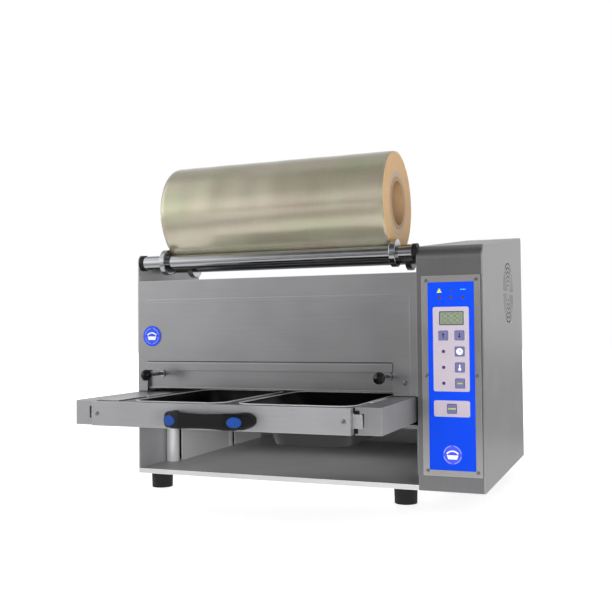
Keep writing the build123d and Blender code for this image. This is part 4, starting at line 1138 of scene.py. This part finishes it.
class FILM_SEALER_OT_symbols(bpy.types.Operator):
    """Symbols on the keys and the label, and the display's digits"""

    bl_idname = "film_sealer.symbols"
    bl_label = "Symbols and digits"

    def execute(self, context):
        c = colours()
        ink = printed_polyester("ink_dark_blue", c.key_ink)
        white = printed_polyester("ink_white", c.paper_white)
        green = printed_polyester("ink_yellow_green", c.signal_green)

        def on_key(name, mark, outlines, material, layer=0):
            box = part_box("key_" + name)
            centre = middle(box)
            shapes = [moved(in_mm(points), (centre.x, centre.z)) for points in outlines]
            front = box[0].y - layer * sizes().print_thickness
            printed(f"{name}_{mark}", shapes, front, material, "key_" + name)

        head = [(0.8, 1.0), (2.6, 1.0), (0.0, 4.4), (-2.6, 1.0), (-0.8, 1.0)]
        arrow = [(-0.8, -4.2), (0.8, -4.2)] + head
        on_key("up", "arrow", [arrow], ink)
        on_key("down", "arrow", [[(x, -z) for x, z in arrow]], ink)
        on_key("timer", "dial", [circle_points(5.3, steps=40)], white)
        hands = [
            rounded_box(0.9, 4.0, 0.3, (0.0, 1.5), 3),
            rounded_box(3.0, 0.9, 0.3, (1.0, -0.1), 3),
        ]
        on_key("timer", "hands", hands, ink, 1)
        bulb = circle_points(2.3, (0.0, -3.0), 30, math.radians(112), math.radians(316))
        stem = [(-0.86, 4.6), (0.86, 4.6)]
        on_key("temperature", "thermometer", [bulb + stem[::-1]], white)
        word_bars = {
            "mode": (-3.3, -1.1, 1.1, 3.3),
            "start": (-5.2, -3.1, -1.0, 1.1, 3.2, 5.3),
        }
        for name, places in word_bars.items():
            bars = [rounded_box(1.7, 1.9, 0.4, (x, 0.0), 3) for x in places]
            on_key(name, "bars", bars, green)

        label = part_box("membrane_label")
        lamps = sorted((middle(b) for b in islands("indicator_lamps")), key=lambda p: -p.z)[:3]
        lamps.sort(key=lambda p: p.x)
        rise = sizes().mark_rise
        marks = (
            ("mains", [[(-4.2, -3.0), (4.2, -3.0), (0.0, 4.4)]], green),
            ("heat", [[(-5.0, 3.0), (5.0, 3.0), (3.4, -1.4), (0.0, -4.6), (-3.4, -1.4)]],
             printed_polyester("ink_navy", linear("#0A3AA0"))),
            ("fault", [rounded_box(1.6, 1.8, 0.4, (x, 1.6), 3) for x in (-3.4, -1.1, 1.2, 3.5)],
             printed_polyester("ink_cyan", linear("#4FA9E8"))),
        )
        for lamp, (name, outlines, material) in zip(lamps, marks):
            shapes = [moved(in_mm(points), (lamp.x, lamp.z + rise)) for points in outlines]
            printed("label_mark_" + name, shapes, label[0].y, material, "housing")

        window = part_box("display_window")
        centre = middle(window)
        width, height = window[1].x - window[0].x, window[1].z - window[0].z
        bezel = moulded_plastic("display_bezel_black", linear("#34382F"), 0.4, 1 * MM, 0.004 * MM)
        border = sizes().display_border
        ring = [
            rounded_box(width, height, 1.0 * MM, (centre.x, centre.z)),
            rounded_box(width - 2 * border, height - 2 * border, 0.6 * MM, (centre.x, centre.z)),
        ]
        printed("display_bezel", ring, window[0].y, bezel, "housing")
        tall = sizes().digit_height
        wide = 0.58 * tall
        line = 0.13 * tall
        slant = 0.08
        segments = []
        for place_x in (-1.0, 0.0, 1.0):
            digit_x = centre.x + place_x * sizes().digit_pitch
            for row in (-1, 0, 1):
                segments.append(
                    rounded_box(wide - 1.5 * line, line, 0.3 * line,
                                (digit_x + slant * row * tall / 2, centre.z + row * tall / 2), 2)
                )
            for side in (-1, 1):
                for half in (-1, 1):
                    segments.append(
                        rounded_box(line, tall / 2 - 1.5 * line, 0.3 * line,
                                    (digit_x + side * wide / 2 + slant * half * tall / 4,
                                     centre.z + half * tall / 4), 2)
                    )
        digits = printed_polyester("display_digit_ink", c.display_ink, 0.3)
        printed("display_digits", segments, window[0].y, digits, "housing", 0.06 * MM)
        return {"FINISHED"}


class FILM_SEALER_OT_emblems(bpy.types.Operator):
    """Round badge on the front panel and the matching emblem on the label"""

    bl_idname = "film_sealer.emblems"
    bl_label = "Badge and emblem"

    def execute(self, context):
        c = colours()
        dress(printed_polyester("enamel_badge_blue", linear("#1B3FC4"), 0.2, 0.5), "front_badge")
        white = printed_polyester("enamel_badge_white", c.paper_white, 0.3)
        sky = printed_polyester("enamel_badge_sky", linear("#7C8BE8"), 0.3)
        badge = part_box("front_badge")
        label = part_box("membrane_label")
        radius = sizes().emblem_radius
        on_label = (middle(label).x, label[0].z + sizes().emblem_height)
        on_badge = (middle(badge).x, middle(badge).z)
        disc = circle_points(radius, on_label, 64)
        backing = printed_polyester("ink_violet_blue", linear("#3A46C8"))
        printed("emblem_disc", [disc], label[0].y, backing, "housing")
        on_disc = label[0].y - sizes().print_thickness
        badge_share = 0.82
        tray = [(-6.0, -0.4), (6.0, -0.4), (4.6, -4.6), (-4.6, -4.6)]
        film_line = arc_band(7.4, 1.5, math.radians(38), math.radians(104), (0.0, -3.6))
        ring = [arc_band(9.1, 0.7, math.radians(start), math.radians(70)) for start in (10, 100, 190, 280)]
        for name, spot, front, reach in (
            ("badge", on_badge, badge[0].y, badge_share * (badge[1].x - badge[0].x) / 2),
            ("emblem", on_label, on_disc, radius),
        ):
            for part, shapes, enamel in (("tray", [tray, film_line], white), ("ring", ring, sky)):
                outlines = [moved(shape, spot, reach / 10.0) for shape in shapes]
                printed(f"{name}_{part}", outlines, front, enamel, "housing")
        return {"FINISHED"}


class FILM_SEALER_OT_inner_parts(bpy.types.Operator):
    """Sealing head, drive, fan, electrics and mains inlet"""

    bl_idname = "film_sealer.inner_parts"
    bl_label = "Inner parts and mains inlet"

    def execute(self, context):
        c = colours()
        plate = milled_metal("aluminium_plate_milled", linear("#C9CACC"), 0.3)
        dress(plate, "heater_plate", "head_carrier", "bridge")
        dress(milled_metal("aluminium_heat_sink_extruded", linear("#AEB0B3"), 0.38), "power_supply")
        dress(milled_metal("bronze_turned", c.bronze, 0.28), "guide_bushes", "lift_nut")
        ground = turned_steel("stainless_guide_ground", c.polished_steel, 0.08, "Z")
        dress(ground, "guide_rods", "lift_screw")
        dress(turned_steel("stainless_cutter_ground", c.polished_steel, 0.2, "Z"), "cutting_frames")
        paint = moulded_plastic("motor_casting_painted", linear("#3A3D42"), 0.42, 2 * MM, 0.06 * MM)
        dress(paint, "drive_gearmotor")
        dress(circuit_laminate("circuit_board_green"), "control_board")
        fan = moulded_plastic("polyester_fan_moulded", linear("#1D1D1E"), 0.5, 1 * MM, 0.03 * MM)
        dress(fan, "fan_frame", "fan_impeller")
        inlet = moulded_plastic("nylon_inlet_moulded", linear("#1A1A1A"), 0.38, 1 * MM, 0.02 * MM)
        dress(inlet, "power_entry")
        rocker = moulded_plastic("nylon_rocker_glossy", linear("#161616"), 0.2, 2 * MM, 0.006 * MM)
        dress(rocker, "switch_rocker")
        return {"FINISHED"}


class FILM_SEALER_OT_stage(bpy.types.Operator):
    """Floor, backdrop, soft lights and camera"""

    bl_idname = "film_sealer.stage"
    bl_label = "Stage"

    def execute(self, context):
        stage = context.scene.film_sealer_stage
        floor_mesh = mesh_from(
            "studio_floor",
            lambda work: bmesh.ops.create_circle(
                work, cap_ends=True, segments=96, radius=stage.floor_radius
            ),
        )
        floor = bpy.data.objects.new("studio_floor", floor_mesh)
        context.scene.collection.objects.link(floor)
        floor_mesh.materials.append(self.floor_material())
        self.lights(context, stage)
        self.backdrop(context)
        self.camera(context, stage)
        context.scene.view_settings.view_transform = "Standard"
        return {"FINISHED"}

    def floor_material(self):
        """White painted board that fades into the backdrop away from the machine.

        Metal mirrors it darker in front, where a studio has black cards.
        """
        material, tree, shader = start_material(
            "board_painted_white", Roughness=0.6, Emission_Color=(1.0, 1.0, 1.0, 1.0)
        )
        where = add(tree, "TexCoord", {}).outputs["Object"]
        grain = add(tree, "TexNoise", {"Vector": where, "Scale": 40.0, "Detail": 3.0})
        white = add(
            tree, "Mix", {0: grain, 6: linear("#F4F4F4"), 7: linear("#FAFAFA")}, data_type="RGBA"
        )
        reach = add(tree, "VectorMath", {0: where}, operation="LENGTH")
        split = add(tree, "SeparateXYZ", {0: where})
        ramps = {}
        for name, along, start, stop, first, last in (
            ("fade", reach, 0.5, 2.5, 0.62, 1.1),
            ("nearby", reach, 0.7, 1.3, 0.85, 0.16),
            ("leftward", split.outputs["X"], -0.3, -1.3, 0.0, 0.7),
            ("behind", split.outputs["Y"], 0.0, 0.8, 0.0, 0.6),
        ):
            values = {0: along, 1: start, 2: stop, 3: first, 4: last}
            ramps[name] = add(tree, "MapRange", values, interpolation_type="SMOOTHSTEP")
        feed(tree, shader, {"Base Color": white, "Emission Strength": ramps["fade"]})
        sides = add(tree, "Math", {0: ramps["leftward"], 1: ramps["behind"]}, operation="ADD")
        mirrored = add(tree, "Math", {0: sides, 1: ramps["nearby"]}, operation="MAXIMUM")
        glow = add(tree, "Emission", {"Strength": mirrored})
        ray = add(tree, "LightPath", {}).outputs["Is Glossy Ray"]
        both = add(tree, "MixShader", {0: ray, 1: shader, 2: glow})
        output = next(node for node in tree.nodes if node.type == "OUTPUT_MATERIAL")
        feed(tree, output, {"Surface": both})
        return material

    def lights(self, context, stage):
        middle_high = Vector((0.0, 0.0, 0.25))
        bay_floor = Vector((-0.05, 0.0, 0.0))
        softboxes = (
            ("overhead", (0.1, 0.1, 2.0), (2.0, 1.6), stage.key_power, middle_high),
            ("bay", (0.2, -1.75, 0.24), (1.3, 0.4), 0.4 * stage.bay_power, middle_high),
            ("bay_side", (1.25, -1.5, 0.2), (0.5, 0.3), stage.bay_power, middle_high),
            ("bay_card", (-0.05, 0.0, 0.12), (0.4, 0.3), stage.card_power, bay_floor),
        )
        for name, spot, size, power, target in softboxes:
            light = bpy.data.lights.new("softbox_" + name, "AREA")
            light.shape = "RECTANGLE"
            light.size, light.size_y = size
            light.energy = power
            lamp = bpy.data.objects.new("softbox_" + name, light)
            lamp.location = spot
            lamp.rotation_euler = (target - Vector(spot)).to_track_quat("-Z", "Y").to_euler()
            lamp.visible_camera = False
            lamp.visible_glossy = False
            context.scene.collection.objects.link(lamp)

    def backdrop(self, context):
        """A studio that is white behind the machine and darker in front.

        It has a soft bright band above the horizon and more light on the left.
        """
        world = bpy.data.worlds.new("studio")
        context.scene.world = world
        world.use_nodes = True
        tree = world.node_tree
        tree.nodes.clear()
        where = add(tree, "TexCoord", {}).outputs["Generated"]
        split = add(tree, "SeparateXYZ", {0: where})
        ramps = {}
        for name, axis, start, stop, first, last in (
            ("left", "X", -0.36, -0.63, 0.07, 1.5),
            ("band", "Z", 0.02, 0.15, 0.0, 0.45),
            ("above", "Z", 0.25, 0.6, 0.0, -0.42),
            ("back", "Z", 0.2, 0.9, 1.0, 0.45),
            ("behind", "Y", -0.25, 0.15, 0.0, 1.0),
        ):
            values = {0: split.outputs[axis], 1: start, 2: stop, 3: first, 4: last}
            ramps[name] = add(tree, "MapRange", values, interpolation_type="SMOOTHSTEP")
        front = add(tree, "Math", {0: ramps["left"], 1: ramps["band"]}, operation="ADD")
        front = add(tree, "Math", {0: front, 1: ramps["above"]}, operation="ADD")
        light = add(
            tree, "Mix", {0: ramps["behind"], 2: front, 3: ramps["back"]}, data_type="FLOAT"
        )
        ray = add(tree, "LightPath", {}).outputs["Is Camera Ray"]
        seen = add(tree, "Mix", {0: ray, 2: light, 3: 1.0}, data_type="FLOAT")
        sky = add(tree, "Background", {"Color": (1, 1, 1, 1), "Strength": seen})
        add(tree, "OutputWorld", {"Surface": sky})

    def camera(self, context, stage):
        data = bpy.data.cameras.new("camera")
        data.lens = stage.lens
        data.sensor_width = 36.0
        camera = bpy.data.objects.new("camera", data)
        camera.location = stage.camera_place
        upright = Euler((math.pi / 2 + stage.camera_pitch, 0.0, stage.camera_yaw)).to_matrix()
        lean = Matrix.Rotation(stage.camera_roll, 3, "Z")
        camera.rotation_euler = (upright @ lean).to_euler()
        context.scene.collection.objects.link(camera)
        context.scene.camera = camera


OPERATORS = (
    FILM_SEALER_OT_housing,
    FILM_SEALER_OT_supports,
    FILM_SEALER_OT_rollers,
    FILM_SEALER_OT_film_roll,
    FILM_SEALER_OT_access_flap,
    FILM_SEALER_OT_drawer,
    FILM_SEALER_OT_handle,
    FILM_SEALER_OT_screws,
    FILM_SEALER_OT_control_panel,
    FILM_SEALER_OT_symbols,
    FILM_SEALER_OT_emblems,
    FILM_SEALER_OT_inner_parts,
    FILM_SEALER_OT_stage,
)


class FILM_SEALER_PT_parts(bpy.types.Panel):
    """Lists the settings and the operators of the film sealing machine"""

    bl_idname = "FILM_SEALER_PT_parts"
    bl_label = "Film sealing machine"
    bl_space_type = "VIEW_3D"
    bl_region_type = "UI"
    bl_category = "Film Sealer"

    def draw(self, context):
        groups = ("film_sealer_sizes", "film_sealer_colours", "film_sealer_stage")
        for group_name in groups:
            group = getattr(context.scene, group_name)
            column = self.layout.column(align=True)
            for name in group.__annotations__:
                column.prop(group, name)
        for operator in OPERATORS:
            self.layout.operator(operator.bl_idname)


GROUPS = {
    "film_sealer_sizes": FilmSealerSizes,
    "film_sealer_colours": FilmSealerColours,
    "film_sealer_stage": FilmSealerStage,
}


def register():
    for name, group in GROUPS.items():
        bpy.utils.register_class(group)
        setattr(bpy.types.Scene, name, PointerProperty(type=group))
    for shown in (*OPERATORS, FILM_SEALER_PT_parts):
        bpy.utils.register_class(shown)


def unregister():
    for shown in reversed((*OPERATORS, FILM_SEALER_PT_parts)):
        bpy.utils.unregister_class(shown)
    for name, group in GROUPS.items():
        delattr(bpy.types.Scene, name)
        bpy.utils.unregister_class(group)


def main():
    register()
    for operator in OPERATORS:
        getattr(bpy.ops.film_sealer, operator.bl_idname.split(".")[1])()


if __name__ == "__main__":
    main()
